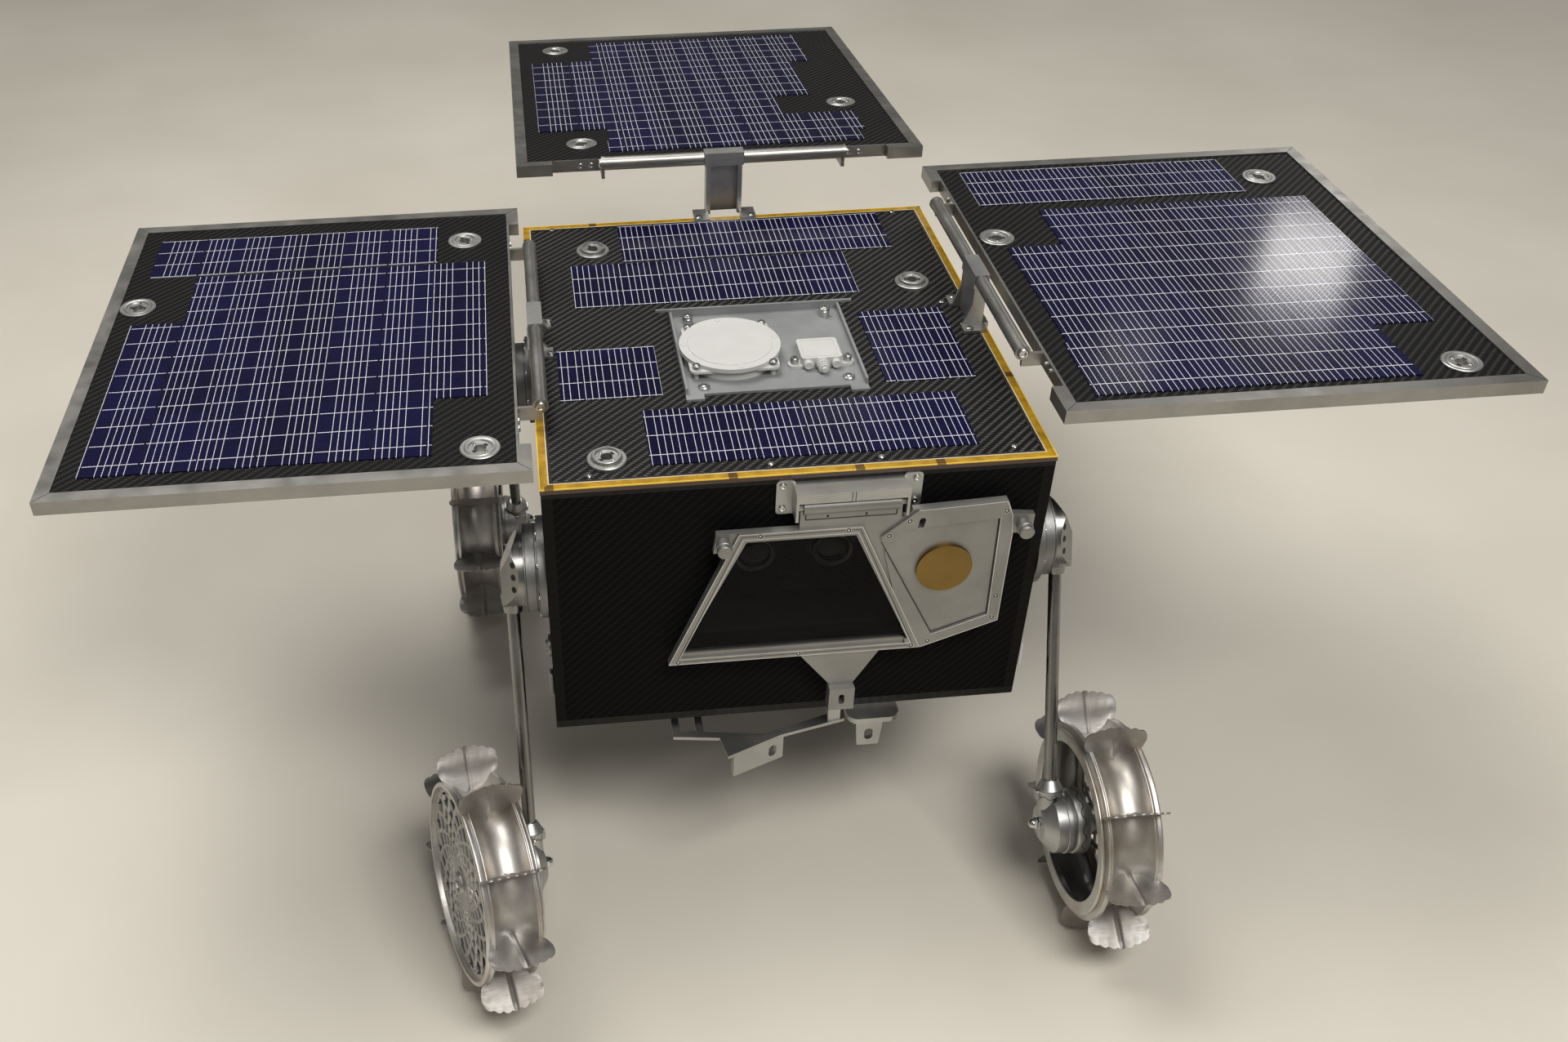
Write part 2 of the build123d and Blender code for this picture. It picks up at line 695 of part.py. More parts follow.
with BuildPart() as shutter_frame:
    with BuildSketch(shutter_back):
        Polygon(*window_frame_outline, align=None)
        Polygon(*side_plate_outline, align=None)
        Polygon(*left_lug_outline, align=None)
        Polygon(*tab_outline, align=None)
        with Locations(tab_block_place):
            Rectangle(tab_block_width, tab_block_height)
        Polygon(*window_outline, align=None, mode=Mode.SUBTRACT)
        with Locations(tab_block_place):
            SlotOverall(slot_length, slot_width, rotation=90, mode=Mode.SUBTRACT)
        with Locations(side_slot_place):
            SlotOverall(slot_length, slot_width, rotation=80, mode=Mode.SUBTRACT)
    extrude(amount=shutter_thickness)
    # A raised rim runs round the window, and another round the side plate's field.
    with BuildSketch(shutter_front):
        Polygon(*window_frame_outline, align=None)
        with BuildLine():
            Polyline(*window_frame_outline, close=True)
        make_face()
        offset(amount=-shutter_rim_width, kind=Kind.INTERSECTION, mode=Mode.SUBTRACT)
    extrude(amount=shutter_rim)
    with BuildSketch(shutter_front):
        Polygon(*side_rim_outline, align=None)
        Polygon(*side_field_outline, align=None, mode=Mode.SUBTRACT)
        with Locations(side_slot_place):
            SlotOverall(slot_length, slot_width, rotation=80, mode=Mode.SUBTRACT)
        Polygon(*window_outline, align=None, mode=Mode.SUBTRACT)
    extrude(amount=shutter_rim)
    # The block under the tab stands forward, and each lug carries a pin.
    with BuildSketch(shutter_front):
        with Locations(tab_block_place):
            Rectangle(tab_block_width, tab_block_height)
            SlotOverall(slot_length, slot_width, rotation=90, mode=Mode.SUBTRACT)
    extrude(amount=tab_block_standoff)
    with BuildSketch(shutter_front):
        with Locations(*lug_pin_places):
            Circle(lug_pin_radius)
    extrude(amount=lug_pin_length)
    with BuildSketch(shutter_back):
        with Locations((shutter_axis_x, (neck_top + window_top) / 2)):
            Rectangle(shutter_neck_length, neck_top - window_top)
    extrude(amount=shutter_thickness)
    with BuildSketch(Plane.YZ.offset(shutter_axis_x - shutter_barrel_length / 2)):
        with Locations((shutter_axis_y, shutter_axis_z)):
            Circle(shutter_barrel_radius)
    extrude(amount=shutter_barrel_length)
    with BuildSketch(Plane.YZ.offset(shutter_axis_x - shutter_neck_length / 2)):
        with Locations((shutter_axis_y, shutter_axis_z)):
            Circle(shutter_pin_radius + shaft_fit)
    extrude(amount=shutter_neck_length, mode=Mode.SUBTRACT)
save(shutter_frame.part, "shutter_frame")

with BuildPart() as window_glass:
    with BuildSketch(shutter_back.offset(1)):
        Polygon(*window_outline, align=None)
    extrude(amount=glass_thickness)
save(window_glass.part, "window_glass")

with BuildPart() as gold_disc:
    with BuildSketch(shutter_front):
        with Locations((disc_x, disc_z)):
            Circle(disc_radius)
    extrude(amount=disc_thickness)
save(gold_disc.part, "gold_disc")

# Fittings under the front edge of the belly: an arm with a hook plate, and a stop
arm_outline = [
    (-92, -170), (-92, -208), (-55, -213), (-51, -234), (-6, -215),
    (49, -202), (50, -191), (-18, -212), (-67, -205), (-67, -170),
]
arm_window_place = (-79.5, -190)
arm_window_width = 13
arm_window_length = 26
# Posts of the arm: place, width, length
arm_posts = [((-79.5, -173), 25, 6), ((40, -198.5), 10, 8)]
hook_line = [(-46, -231), (-3, -213.5)]
with BuildPart() as belly_arm:
    with BuildSketch(Plane.XY.offset(-arm_top)):
        Polygon(*arm_outline, align=None)
        with Locations(arm_window_place):
            Rectangle(arm_window_width, arm_window_length, mode=Mode.SUBTRACT)
    extrude(amount=-arm_thickness)
    # Two posts hang the arm from the belly.
    with BuildSketch(Plane.XY.offset(belly_step)):
        for place, width, length in arm_posts:
            with Locations(place):
                Rectangle(width, length)
    extrude(amount=-(arm_top + belly_step))
    hook_face = Plane(
        origin=(hook_line[0][0], hook_line[0][1], -arm_top - arm_thickness),
        x_dir=(Vector(*hook_line[1]) - Vector(*hook_line[0])).normalized(),
        z_dir=(0, 0, 1),
    )
    hook_width = (Vector(*hook_line[1]) - Vector(*hook_line[0])).length
    with BuildSketch(hook_face):
        with Locations((hook_width / 2, hook_thickness / 2)):
            Rectangle(hook_width, hook_thickness)
    extrude(amount=-hook_height)
    hole_face = Plane(origin=hook_face.origin, x_dir=hook_face.x_dir, z_dir=-hook_face.y_dir)
    with BuildSketch(hole_face):
        with Locations((hook_width - hook_hole_inset, -hook_height / 2)):
            SlotOverall(oval_length, oval_width, rotation=90)
    extrude(amount=-hook_thickness, mode=Mode.SUBTRACT)
save(belly_arm.part, "belly_arm")

# The stop hangs on a lip in front of the wall, between two gussets
stop_back = -half_length - stop_standoff
stop_root = belly_step - belly_lip_thickness
stop_face = Plane(origin=(stop_x, stop_back, 0), x_dir=(1, 0, 0), z_dir=(0, -1, 0))
with BuildPart() as belly_bracket:
    with BuildSketch(Plane.XY.offset(belly_step)):
        with Locations((stop_x, -half_length - belly_lip_overhang / 2 + belly_strip / 4)):
            Rectangle(belly_lip_width, belly_lip_overhang + belly_strip / 2)
        fillet(vertices().group_by(Axis.Y)[0], belly_lip_corner)
    extrude(amount=-belly_lip_thickness)
    with BuildSketch(stop_face):
        Polygon(
            (-stop_root_half, stop_root),
            (stop_root_half, stop_root),
            (stop_tip_half, -stop_drop),
            (-stop_tip_half, -stop_drop),
            align=None,
        )
        with Locations((0, oval_length - stop_drop)):
            SlotOverall(oval_length, oval_width, rotation=90, mode=Mode.SUBTRACT)
    extrude(amount=-stop_thickness)
    for edge in (-stop_root_half, stop_root_half - stop_gusset):
        with BuildSketch(Plane.YZ.offset(stop_x + edge)):
            Polygon(
                (stop_back + stop_thickness, stop_root),
                (stop_back + stop_thickness, -stop_drop / 2),
                (-half_length + belly_lip_overhang, stop_root),
                align=None,
            )
        extrude(amount=stop_gusset)
save(belly_bracket.part, "belly_bracket")

# Legs and wheels
# name, side, end, shoulder place along Y, twist of the foot on its tube
legs = [
    ("front_left", -1, -1, -168.0, 18.0),
    ("front_right", 1, -1, -168.0, 0.0),
    ("rear_left", -1, 1, 100.0, 0.0),
    ("rear_right", 1, 1, 100.0, 0.0),
]


def leg_down(end):
    return Vector(0, end * sin(radians(leg_swing)), -cos(radians(leg_swing)))


def shoulder_plane(side, end, shoulder_y, out=0.0):
    """Looks outwards from the side wall, with X down the leg."""
    point = (side * (half_width + out), shoulder_y, shoulder_z)
    return Plane(origin=point, x_dir=leg_down(end), z_dir=(side, 0, 0))


def axle_direction(side, end, twist):
    outward = Vector(side, 0, 0)
    down = leg_down(end)
    forward = outward.cross(down)
    if forward.Y > 0:
        forward = forward * -1
    return outward * cos(radians(twist)) + forward * sin(radians(twist))


def foot_plane(side, end, shoulder_y, twist, out=0.0):
    """Lies across the axle, with X down the leg and its origin on the tube."""
    axle = axle_direction(side, end, twist)
    foot = shoulder_plane(side, end, shoulder_y, tube_offset).origin + leg_down(end) * leg_length
    return Plane(origin=foot + axle * out, x_dir=leg_down(end), z_dir=axle)


with BuildPart() as shoulder_flanges:
    for name, side, end, shoulder_y, twist in legs:
        with BuildSketch(shoulder_plane(side, end, shoulder_y)):
            Circle(flange_radius)
        extrude(amount=flange_thickness)
save(shoulder_flanges.part, "shoulder_flanges")

with BuildPart() as shoulder_drives:
    for name, side, end, shoulder_y, twist in legs:
        with BuildSketch(shoulder_plane(side, end, shoulder_y, flange_thickness)):
            Circle(drive_radius)
        extrude(amount=drive_thickness)
        with BuildSketch(shoulder_plane(side, end, shoulder_y, flange_thickness + drive_thickness)):
            Circle(spindle_radius)
        extrude(amount=spindle_length)
save(shoulder_drives.part, "shoulder_drives")

for name, side, end, shoulder_y, twist in legs:
    housing_start = flange_thickness + drive_thickness + running_gap
    base = shoulder_plane(side, end, shoulder_y, housing_start)
    down = leg_down(end)
    with BuildPart() as leg_arm:
        with BuildSketch(base):
            Circle(housing_radius)
        extrude(amount=housing_depth)
        # The roof of the housing slopes from the drive to a flat over the tube.
        profile = Plane(origin=base.origin, x_dir=(side, 0, 0), z_dir=base.y_dir)
        roof = [(0, 32), (0, -31), (3, -31), (housing_depth, -2), (housing_depth, 26), (7, 32)]
        down_sign = 1 if profile.y_dir.dot(down) > 0 else -1
        with BuildSketch(profile.offset(-housing_radius)):
            Polygon(*[(out, down_sign * along) for out, along in roof], align=None)
        extrude(amount=2 * housing_radius, mode=Mode.INTERSECT)
        across = Plane(origin=base.origin, x_dir=(side, 0, 0), z_dir=down)
        with BuildSketch(across.offset(-housing_radius)):
            Polygon(
                (0, housing_radius),
                (housing_edge, housing_radius),
                (housing_depth, housing_flat),
                (housing_depth, -housing_flat),
                (housing_edge, -housing_radius),
                (0, -housing_radius),
                align=None,
            )
        extrude(amount=2 * housing_radius, mode=Mode.INTERSECT)
        with BuildSketch(base):
            Circle(spindle_radius + shaft_fit)
        extrude(amount=spindle_length + running_gap, mode=Mode.SUBTRACT)
        tube_plane = Plane(
            origin=shoulder_plane(side, end, shoulder_y, tube_offset).origin, x_dir=(1, 0, 0), z_dir=down
        )
        with BuildSketch(tube_plane.offset(20)):
            Circle(tube_radius)
        extrude(amount=leg_length - collar_bottom - 20)
        with BuildSketch(tube_plane.offset(20)):
            Circle(collar_radius)
        extrude(amount=14, taper=8)
    save(leg_arm.part, f"{name}_arm")

    foot = foot_plane(side, end, shoulder_y, twist)
    with BuildPart() as foot_drive:
        # Cone, drum and seam ring of the wheel drive, turned about the axle
        with BuildSketch(Plane(origin=foot.origin, x_dir=foot.z_dir, z_dir=foot.y_dir)):
            with BuildLine():
                Polyline(
                    (foot_drive_start, 0),
                    (foot_drive_start, foot_cone_radius),
                    (foot_drive_start + foot_cone_length, foot_drive_radius),
                    (foot_drive_end - foot_ring_length, foot_drive_radius),
                    (foot_drive_end - foot_ring_length, foot_ring_radius),
                    (foot_drive_end, foot_ring_radius),
                    (foot_drive_end, axle_radius),
                    (axle_end, axle_radius),
                    (axle_end, 0),
                    close=True,
                )
            make_face()
        revolve(axis=Axis(foot.origin, foot.z_dir))
        foot_up = Plane(origin=foot.origin, x_dir=foot.z_dir, z_dir=-down)
        with BuildSketch(foot_up.offset(-foot_post_below)):
            Circle(foot_radius)
        extrude(amount=collar_bottom + foot_post_below)
        with BuildSketch(foot_up.offset(collar_bottom)):
            Circle(collar_radius)
        extrude(amount=collar_top - collar_bottom, taper=24)
        with BuildSketch(foot_up.offset(collar_bottom)):
            Circle(tube_radius)
        extrude(amount=collar_top, mode=Mode.SUBTRACT)
        with BuildSketch(foot.offset(-nut_start)):
            RegularPolygon(nut_radius, 6)
        extrude(amount=-nut_length)
    save(foot_drive.part, f"{name}_foot")

    # Wheel rim: a rolled sheet with a waist between two lips, drawn along the axle
    rim_start = wheel_inner
    rim_end = wheel_inner + wheel_width
    rim_middle = (rim_start + rim_end) / 2
    section = Plane(origin=foot.origin, x_dir=foot.z_dir, z_dir=foot.y_dir)
    web_seat = web_inset + web_thickness
    tread_line = [
        (rim_start + 2 * lip_width, lip_radius),
        (rim_start + shoulder_inset, shoulder_radius),
        (rim_middle, waist_radius),
        (rim_end - shoulder_inset, shoulder_radius),
        (rim_end - 2 * lip_width, lip_radius),
    ]
    rim_profile = [
        (rim_start, opening_radius),
        (rim_start, lip_step_radius),
        (rim_start + lip_width, lip_step_radius),
        (rim_start + lip_width, lip_radius),
        *tread_line,
        (rim_end, lip_radius),
        (rim_end, lip_radius - lip_sheet),
        (rim_end - web_seat, lip_radius - lip_sheet),
        (rim_middle, waist_radius - waist_sheet),
        (rim_start + sheet, lip_step_radius - sheet),
        (rim_start + sheet, opening_radius),
    ]
    # Grouser: a plate across the tread with a scalloped edge, its valleys deepest at the sides
    valley_line = []
    scallop_width = (wheel_width - 2 * shoulder_inset / 3) / scallop_count
    for index in range(scallop_count + 1):
        across = index - scallop_count / 2
        depth = (2 * across / scallop_count) ** 2
        valley = valley_middle_radius - depth * (valley_middle_radius - valley_edge_radius)
        place = rim_middle + across * scallop_width
        valley_line.append((place, valley))
        if index < scallop_count:
            valley_line.append((place + scallop_width / 4, grouser_radius - 2.5 * depth))
            valley_line.append((place + 3 * scallop_width / 4, grouser_radius - 2.5 * depth))
    grouser_outline = [
        *[(along, radius - sheet / 2) for along, radius in tread_line[::-1]],
        (rim_start - grouser_overhang, lip_radius + 4),
        (rim_start - grouser_overhang, grouser_side_radius),
        *valley_line,
        (rim_end + grouser_overhang, grouser_side_radius),
        (rim_end + grouser_overhang, lip_radius + 4),
    ]
    with BuildPart() as wheel_rim:
        with BuildSketch(section):
            Polygon(*rim_profile, align=None)
        revolve(axis=Axis(foot.origin, foot.z_dir))
        for index in range(grouser_count):
            angle = grouser_phase + index * 360 / grouser_count
            front = Vector(0, -1, 0) - foot.z_dir * Vector(0, -1, 0).dot(foot.z_dir)
            front = front.normalized()
            up = foot.z_dir.cross(front)
            if up.Z < 0:
                up = up * -1
            radial = front * cos(radians(angle)) + up * sin(radians(angle))
            plate = Plane(origin=foot.origin, x_dir=foot.z_dir, z_dir=foot.z_dir.cross(radial))
            with BuildSketch(plate.offset(-grouser_thickness / 2)):
                Polygon(*grouser_outline, align=None)
            extrude(amount=grouser_thickness)
    save(wheel_rim.part, f"{name}_rim")

    # Web: a disc cut through by rings of diamonds, each ring half a step on from the last
    with BuildPart() as wheel_web:
        web = foot.offset(rim_end - web_inset)
        with BuildSketch(web):
            Circle(lip_radius - lip_sheet)
            for ring in range(window_rings):
                middle = window_first_radius * exp(ring * pi / window_count)
                inner_end = middle * exp(-window_fill * pi / window_count)
                outer_end = min(middle * exp(window_fill * pi / window_count), lip_radius - lip_sheet - 4)
                half = middle * window_fill * sin(pi / window_count)
                for index in range(window_count):
                    turn = (index + ring / 2) * 360 / window_count
                    with Locations(Location((0, 0, 0), (0, 0, turn))):
                        Polygon(
                            (inner_end, 0),
                            (middle, -half),
                            (outer_end, 0),
                            (middle, half),
                            align=None,
                            mode=Mode.SUBTRACT,
                        )
        extrude(amount=-web_thickness)
        with BuildSketch(web):
            Circle(hub_radius)
        extrude(amount=-hub_length)
        with BuildSketch(web):
            Circle(boss_radius)
        extrude(amount=boss_length)
        with BuildSketch(web.offset(-hub_length)):
            Circle(axle_radius + shaft_fit)
        extrude(amount=axle_end + running_gap - (rim_end - web_inset - hub_length), mode=Mode.SUBTRACT)
    save(wheel_web.part, f"{name}_web")
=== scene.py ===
# %% [markdown]
# This lesson dresses a four-wheeled planetary rover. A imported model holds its
# solids at their real size, and everything here is built around them in metres.
# X points right, Y back and Z up, and the camera window looks to -Y.

# %% Load the rover
import json
import math

import bmesh
import bpy
import numpy as np
from mathutils import Euler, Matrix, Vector


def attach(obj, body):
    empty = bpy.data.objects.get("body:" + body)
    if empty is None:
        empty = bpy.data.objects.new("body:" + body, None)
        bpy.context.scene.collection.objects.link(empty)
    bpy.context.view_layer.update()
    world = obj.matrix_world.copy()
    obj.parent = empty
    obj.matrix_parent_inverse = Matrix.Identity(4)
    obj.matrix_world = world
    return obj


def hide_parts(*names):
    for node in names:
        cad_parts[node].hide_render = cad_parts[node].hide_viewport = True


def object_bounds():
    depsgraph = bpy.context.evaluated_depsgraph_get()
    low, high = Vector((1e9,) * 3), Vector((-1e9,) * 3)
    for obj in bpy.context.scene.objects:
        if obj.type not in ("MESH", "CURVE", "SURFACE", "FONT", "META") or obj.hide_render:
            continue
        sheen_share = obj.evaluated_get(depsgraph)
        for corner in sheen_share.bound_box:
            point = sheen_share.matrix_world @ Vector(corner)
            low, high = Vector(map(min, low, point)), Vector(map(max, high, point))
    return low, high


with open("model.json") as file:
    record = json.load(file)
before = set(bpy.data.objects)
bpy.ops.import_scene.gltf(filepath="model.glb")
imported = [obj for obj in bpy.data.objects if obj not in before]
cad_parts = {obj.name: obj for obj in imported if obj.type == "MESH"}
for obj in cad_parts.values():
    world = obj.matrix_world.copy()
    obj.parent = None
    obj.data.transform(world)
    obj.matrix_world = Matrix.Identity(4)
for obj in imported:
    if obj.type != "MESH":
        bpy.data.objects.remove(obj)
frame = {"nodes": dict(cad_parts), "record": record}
cad_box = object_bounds()
nodes = frame["nodes"]
joints = {joint["name"]: joint for joint in frame["record"]["behaviour"]["joints"]}
corners = ("front_left", "front_right", "rear_left", "rear_right")

# %% [markdown]
# A Blender material is a tree of shader nodes. Short helpers keep the cells
# below readable: one adds a node with its options and inputs, and the others
# add one step of arithmetic, one colour blend, one noise or one bump.

# %% Helpers for shader trees
def feed(tree, node, values):
    """Links each input, given by name or number, to a socket or sets it to a value."""
    for name, value in values.items():
        if isinstance(value, bpy.types.NodeSocket):
            tree.links.new(value, node.inputs[name])
        else:
            node.inputs[name].default_value = value


def place(tree, kind, values=None, **options):
    """Adds a shader node with its options and inputs."""
    made = tree.nodes.new("ShaderNode" + kind)
    for option, value in options.items():
        setattr(made, option, value)
    feed(tree, made, values or {})
    return made


def calc(tree, operation, *values):
    """One Math node, with values in the order of its inputs."""
    return place(tree, "Math", dict(enumerate(values)), operation=operation).outputs[0]


def weighted(tree, first, share, second):
    """A share of the first value, and the rest of the second."""
    rest = calc(tree, "MULTIPLY", second, 1.0 - share)
    return calc(tree, "ADD", calc(tree, "MULTIPLY", first, share), rest)


def blend_colours(tree, share, first, second):
    """The first colour where share is 0, the second where it is 1."""
    return place(tree, "Mix", {0: share, 6: first, 7: second}, data_type="RGBA").outputs[2]


def scaled_noise(tree, where, scale, detail=3.0, rough=0.5):
    """Noise between 0 and 1 at a number of waves per metre."""
    values = {"Vector": where, "Scale": scale, "Detail": detail, "Roughness": rough}
    return place(tree, "TexNoise", values).outputs["Fac"]


def white_noise(tree, number):
    """A chance value from 0 to 1, the same each time for one number."""
    return place(tree, "TexWhiteNoise", {"W": number}, noise_dimensions="1D").outputs[0]


def remap(tree, value, low, high, to_low=0.0, to_high=1.0):
    """Stretches low..high to a new range, clamped at its ends."""
    values = dict(enumerate((value, low, high, to_low, to_high)))
    return place(tree, "MapRange", values, clamp=True).outputs[0]


def axes_of(tree, vector):
    """The parts of a vector, by X, Y and Z."""
    return place(tree, "SeparateXYZ", {0: vector}).outputs


def pulled_out(tree, vector, stretch):
    """A vector times another, part by part."""
    return place(tree, "VectorMath", {0: vector, 1: stretch}, operation="MULTIPLY").outputs[0]


def bumped(tree, strength, distance, height):
    """The normal of a surface with small heights on it."""
    return place(tree, "Bump", {"Strength": strength, "Distance": distance, "Height": height}).outputs[0]


def rgba(colour, factor=1.0):
    """A colour times a factor, with full alpha."""
    return tuple(min(1.0, factor * part) for part in colour) + (1.0,)


def new_group(name, inputs, outputs, kind="Float"):
    """A node group, the sockets of its inputs and its end. Its outputs are floats."""
    group = bpy.data.node_groups.new(name, "ShaderNodeTree")
    for way, names, sort in (("INPUT", inputs, kind), ("OUTPUT", outputs, "Float")):
        for each in names:
            group.interface.new_socket(each, in_out=way, socket_type="NodeSocket" + sort)
    return group, group.nodes.new("NodeGroupInput").outputs, group.nodes.new("NodeGroupOutput")


def new_material(name):
    """A material with its Principled shader, and the coordinates of the piece."""
    material = bpy.data.materials.new(name)
    material.use_nodes = True
    tree = material.node_tree
    return material, tree, tree.nodes["Principled BSDF"], place(tree, "TexCoord").outputs


def finish_with(material, *pieces):
    """Gives pieces, or CAD nodes by name, this one material."""
    for piece in pieces:
        target = nodes[piece] if isinstance(piece, str) else piece
        target.data.materials.clear()
        target.data.materials.append(material)


# %% [markdown]
# Woven carbon fibre is a twill: each tow runs over two and under two, one step
# further along in each row, so the floats line up as diagonals. The group works
# out, from a place in the plane of the cloth, which set of tows is on top there
# and how high its float stands.
# With u and v counted in tows, the crossing (i, j) shows a tow along v where
# (i - j) mod 4 is 0 or 1. A float is a half sine along its two crossings, made
# flatter by a power of 0.6, times a half sine across its tow.

# %% Twill weave group
tow_width = 0.002


def build_twill():
    """Node group: Across and Along in metres, Tow in metres; Cross Float and Height."""
    group, start, end = new_group("Twill weave", ("Across", "Along", "Tow"), ("Cross Float", "Height"))
    u = calc(group, "DIVIDE", start["Across"], start["Tow"])
    v = calc(group, "DIVIDE", start["Along"], start["Tow"])
    i = calc(group, "FLOOR", u)
    j = calc(group, "FLOOR", v)
    step = calc(group, "FLOORED_MODULO", calc(group, "SUBTRACT", i, j), 4.0)
    along_shown = calc(group, "LESS_THAN", step, 1.5)

    def float_height(along, across, row):
        """Half sine over the float's two crossings, times half sine over the tow's width."""
        length = calc(group, "FLOORED_MODULO", calc(group, "SUBTRACT", along, row), 4.0)
        lengthwise = calc(group, "SINE", calc(group, "MULTIPLY", length, math.pi / 2))
        widthwise = calc(group, "SINE", calc(group, "MULTIPLY", calc(group, "FRACT", across), math.pi))
        rounded = calc(group, "POWER", calc(group, "MAXIMUM", lengthwise, 0.0), 0.6)
        return calc(group, "MULTIPLY", rounded, widthwise)

    along_float = float_height(v, u, calc(group, "SUBTRACT", i, 1.0))
    cross_float = float_height(u, v, calc(group, "ADD", j, 2.0))
    along_part = calc(group, "MULTIPLY", along_float, along_shown)
    cross_part = calc(group, "MULTIPLY", cross_float, calc(group, "SUBTRACT", 1.0, along_shown))
    feed(group, end, {"Cross Float": cross_part, "Height": calc(group, "ADD", along_part, cross_part)})
    return group


twill = build_twill()
print("twill tow:", tow_width * 1000, "mm")


def woven(tree, across, along):
    """The twill's outputs at a place in the plane of the cloth."""
    values = {"Across": across, "Along": along, "Tow": tow_width}
    return place(tree, "Group", values, node_tree=twill).outputs


# %% [markdown]
# The box and the solar panels are carbon-fibre laminates under clear resin.
# The cross tows catch the light, and that sheen is painted into the colour as
# rows of pale seeds, while the tows along the view stay black. The painted sheen
# is strongest on the deck and belly and faintest on the front and back walls.
# The cloth lies in a different plane on each wall, so the function is told which
# two axes span it. The third axis is the one that a sheet's faces look along, and
# where a face looks elsewhere it is a cut edge, which shows its layers.

# %% Carbon-fibre laminate
def build_cut_edge():
    """Node group: Facing, the normal's part across the sheet, and Depth, the place across it in
    metres. Edge is 1 on a cut edge, and Layer is a half plus half a sine of the depth."""
    group, start, end = new_group("Cut edge", ("Facing", "Depth"), ("Edge", "Layer"))
    layers = calc(group, "SINE", calc(group, "MULTIPLY", start["Depth"], 7000.0))
    feed(group, end, {
        "Edge": calc(group, "LESS_THAN", calc(group, "ABSOLUTE", start["Facing"]), 0.7),
        "Layer": remap(group, layers, -1.0, 1.0),
    })
    return group


cut_edge = build_cut_edge()


def carbon(name, across, along, facing, sheen_strength, rough, gloss, edge=0.02):
    """Twill laminate in the plane of two axes, with painted sheen on its cross tows and its cut edges
    layered.
    """
    material, tree, shader, coordinates = new_material(name)
    axes = axes_of(tree, coordinates["Object"])
    weave = woven(tree, axes[across], axes[along])
    patches = scaled_noise(tree, coordinates["Object"], 9.0)
    crown = calc(tree, "POWER", weave["Cross Float"], 1.7)
    sheen_share = calc(tree, "MULTIPLY", crown, remap(tree, patches, 0.3, 0.7, 0.65, 1.0))
    # Painted sheen: the pale colour on the crowns of the cross tows stands in for the light they reflect, and
    # its strength is set for each wall.
    painted_sheen = (sheen_strength, sheen_strength * 0.97, sheen_strength * 0.93, 1.0)
    cloth = blend_colours(tree, sheen_share, (0.0035, 0.0035, 0.0038, 1.0), painted_sheen)
    looks = axes_of(tree, coordinates["Normal"])
    cut = place(tree, "Group", {"Facing": looks[facing], "Depth": axes[facing]}, node_tree=cut_edge).outputs
    pale_layer = (edge, edge * 0.9, edge * 0.78, 1.0)
    dark_layer = (edge * 0.6, edge * 0.54, edge * 0.45, 1.0)
    layered = blend_colours(tree, cut["Layer"], pale_layer, dark_layer)
    feed(tree, shader, {
        "Base Color": blend_colours(tree, cut["Edge"], cloth, layered),
        "Roughness": remap(tree, weave["Cross Float"], 0.0, 1.0, rough + 0.12, rough),
        "Normal": bumped(tree, 0.25, 0.0002, weave["Height"]),
        "Specular IOR Level": gloss,
    })
    return material


carbon_level = carbon("Carbon laminate level", "X", "Y", "Z", 0.12, 0.36, 0.2, 0.008)
carbon_board = carbon("Carbon laminate boards", "X", "Y", "Z", 0.045, 0.4, 0.12, 0.008)
carbon_front = carbon("Carbon laminate front", "X", "Z", "Y", 0.012, 0.62, 0.06)
carbon_side = carbon("Carbon laminate side", "Y", "Z", "X", 0.02, 0.6, 0.1, 0.009)
finish_with(carbon_level, "deck_panel", "belly_panel")
finish_with(carbon_board, "panel_left_board", "panel_right_board", "panel_rear_board")
finish_with(carbon_front, "front_panel", "rear_panel")
finish_with(carbon_side, "side_panels")
print("laminates:", len((carbon_level, carbon_board, carbon_front, carbon_side)))

# %% [markdown]
# Milled aluminium is a mirror with fine scratches. The scratches are noise
# squeezed along one direction, which changes roughness and tilts the surface a
# little. Wide soft noise adds handling marks, so no large face is even.

# %% Worked metal
def build_metal_wear():
    """Node group: Vector and Stretch; Scratches and Marks, both from 0 to 1."""
    group, start, end = new_group("Metal wear", ("Vector", "Stretch"), ("Scratches", "Marks"), "Vector")
    pulled = pulled_out(group, start["Vector"], start["Stretch"])
    feed(group, end, {
        "Scratches": scaled_noise(group, pulled, 1.0, 4.0, 0.6),
        "Marks": scaled_noise(group, start["Vector"], 22.0, 4.0, 0.55),
    })
    return group


metal_wear = build_metal_wear()


def worked_metal(name, colour, rough, stretch=(900,) * 3, bump_strength=0.15, metallic=1.0):
    """Bare metal: colour and roughness vary with fine scratches and wide marks."""
    material, tree, shader, coordinates = new_material(name)
    values = {"Vector": coordinates["Object"], "Stretch": stretch}
    wear = place(tree, "Group", values, node_tree=metal_wear).outputs
    share = remap(tree, wear["Marks"], 0.25, 0.75)
    both = weighted(tree, wear["Scratches"], 0.6, wear["Marks"])
    feed(tree, shader, {
        "Base Color": blend_colours(tree, share, rgba(colour, 0.72), rgba(colour, 1.08)),
        "Roughness": remap(tree, both, 0.3, 0.7, rough - 0.09, rough + 0.09),
        "Normal": bumped(tree, bump_strength, 0.0001, wear["Scratches"]),
        "Metallic": metallic,
    })
    return material


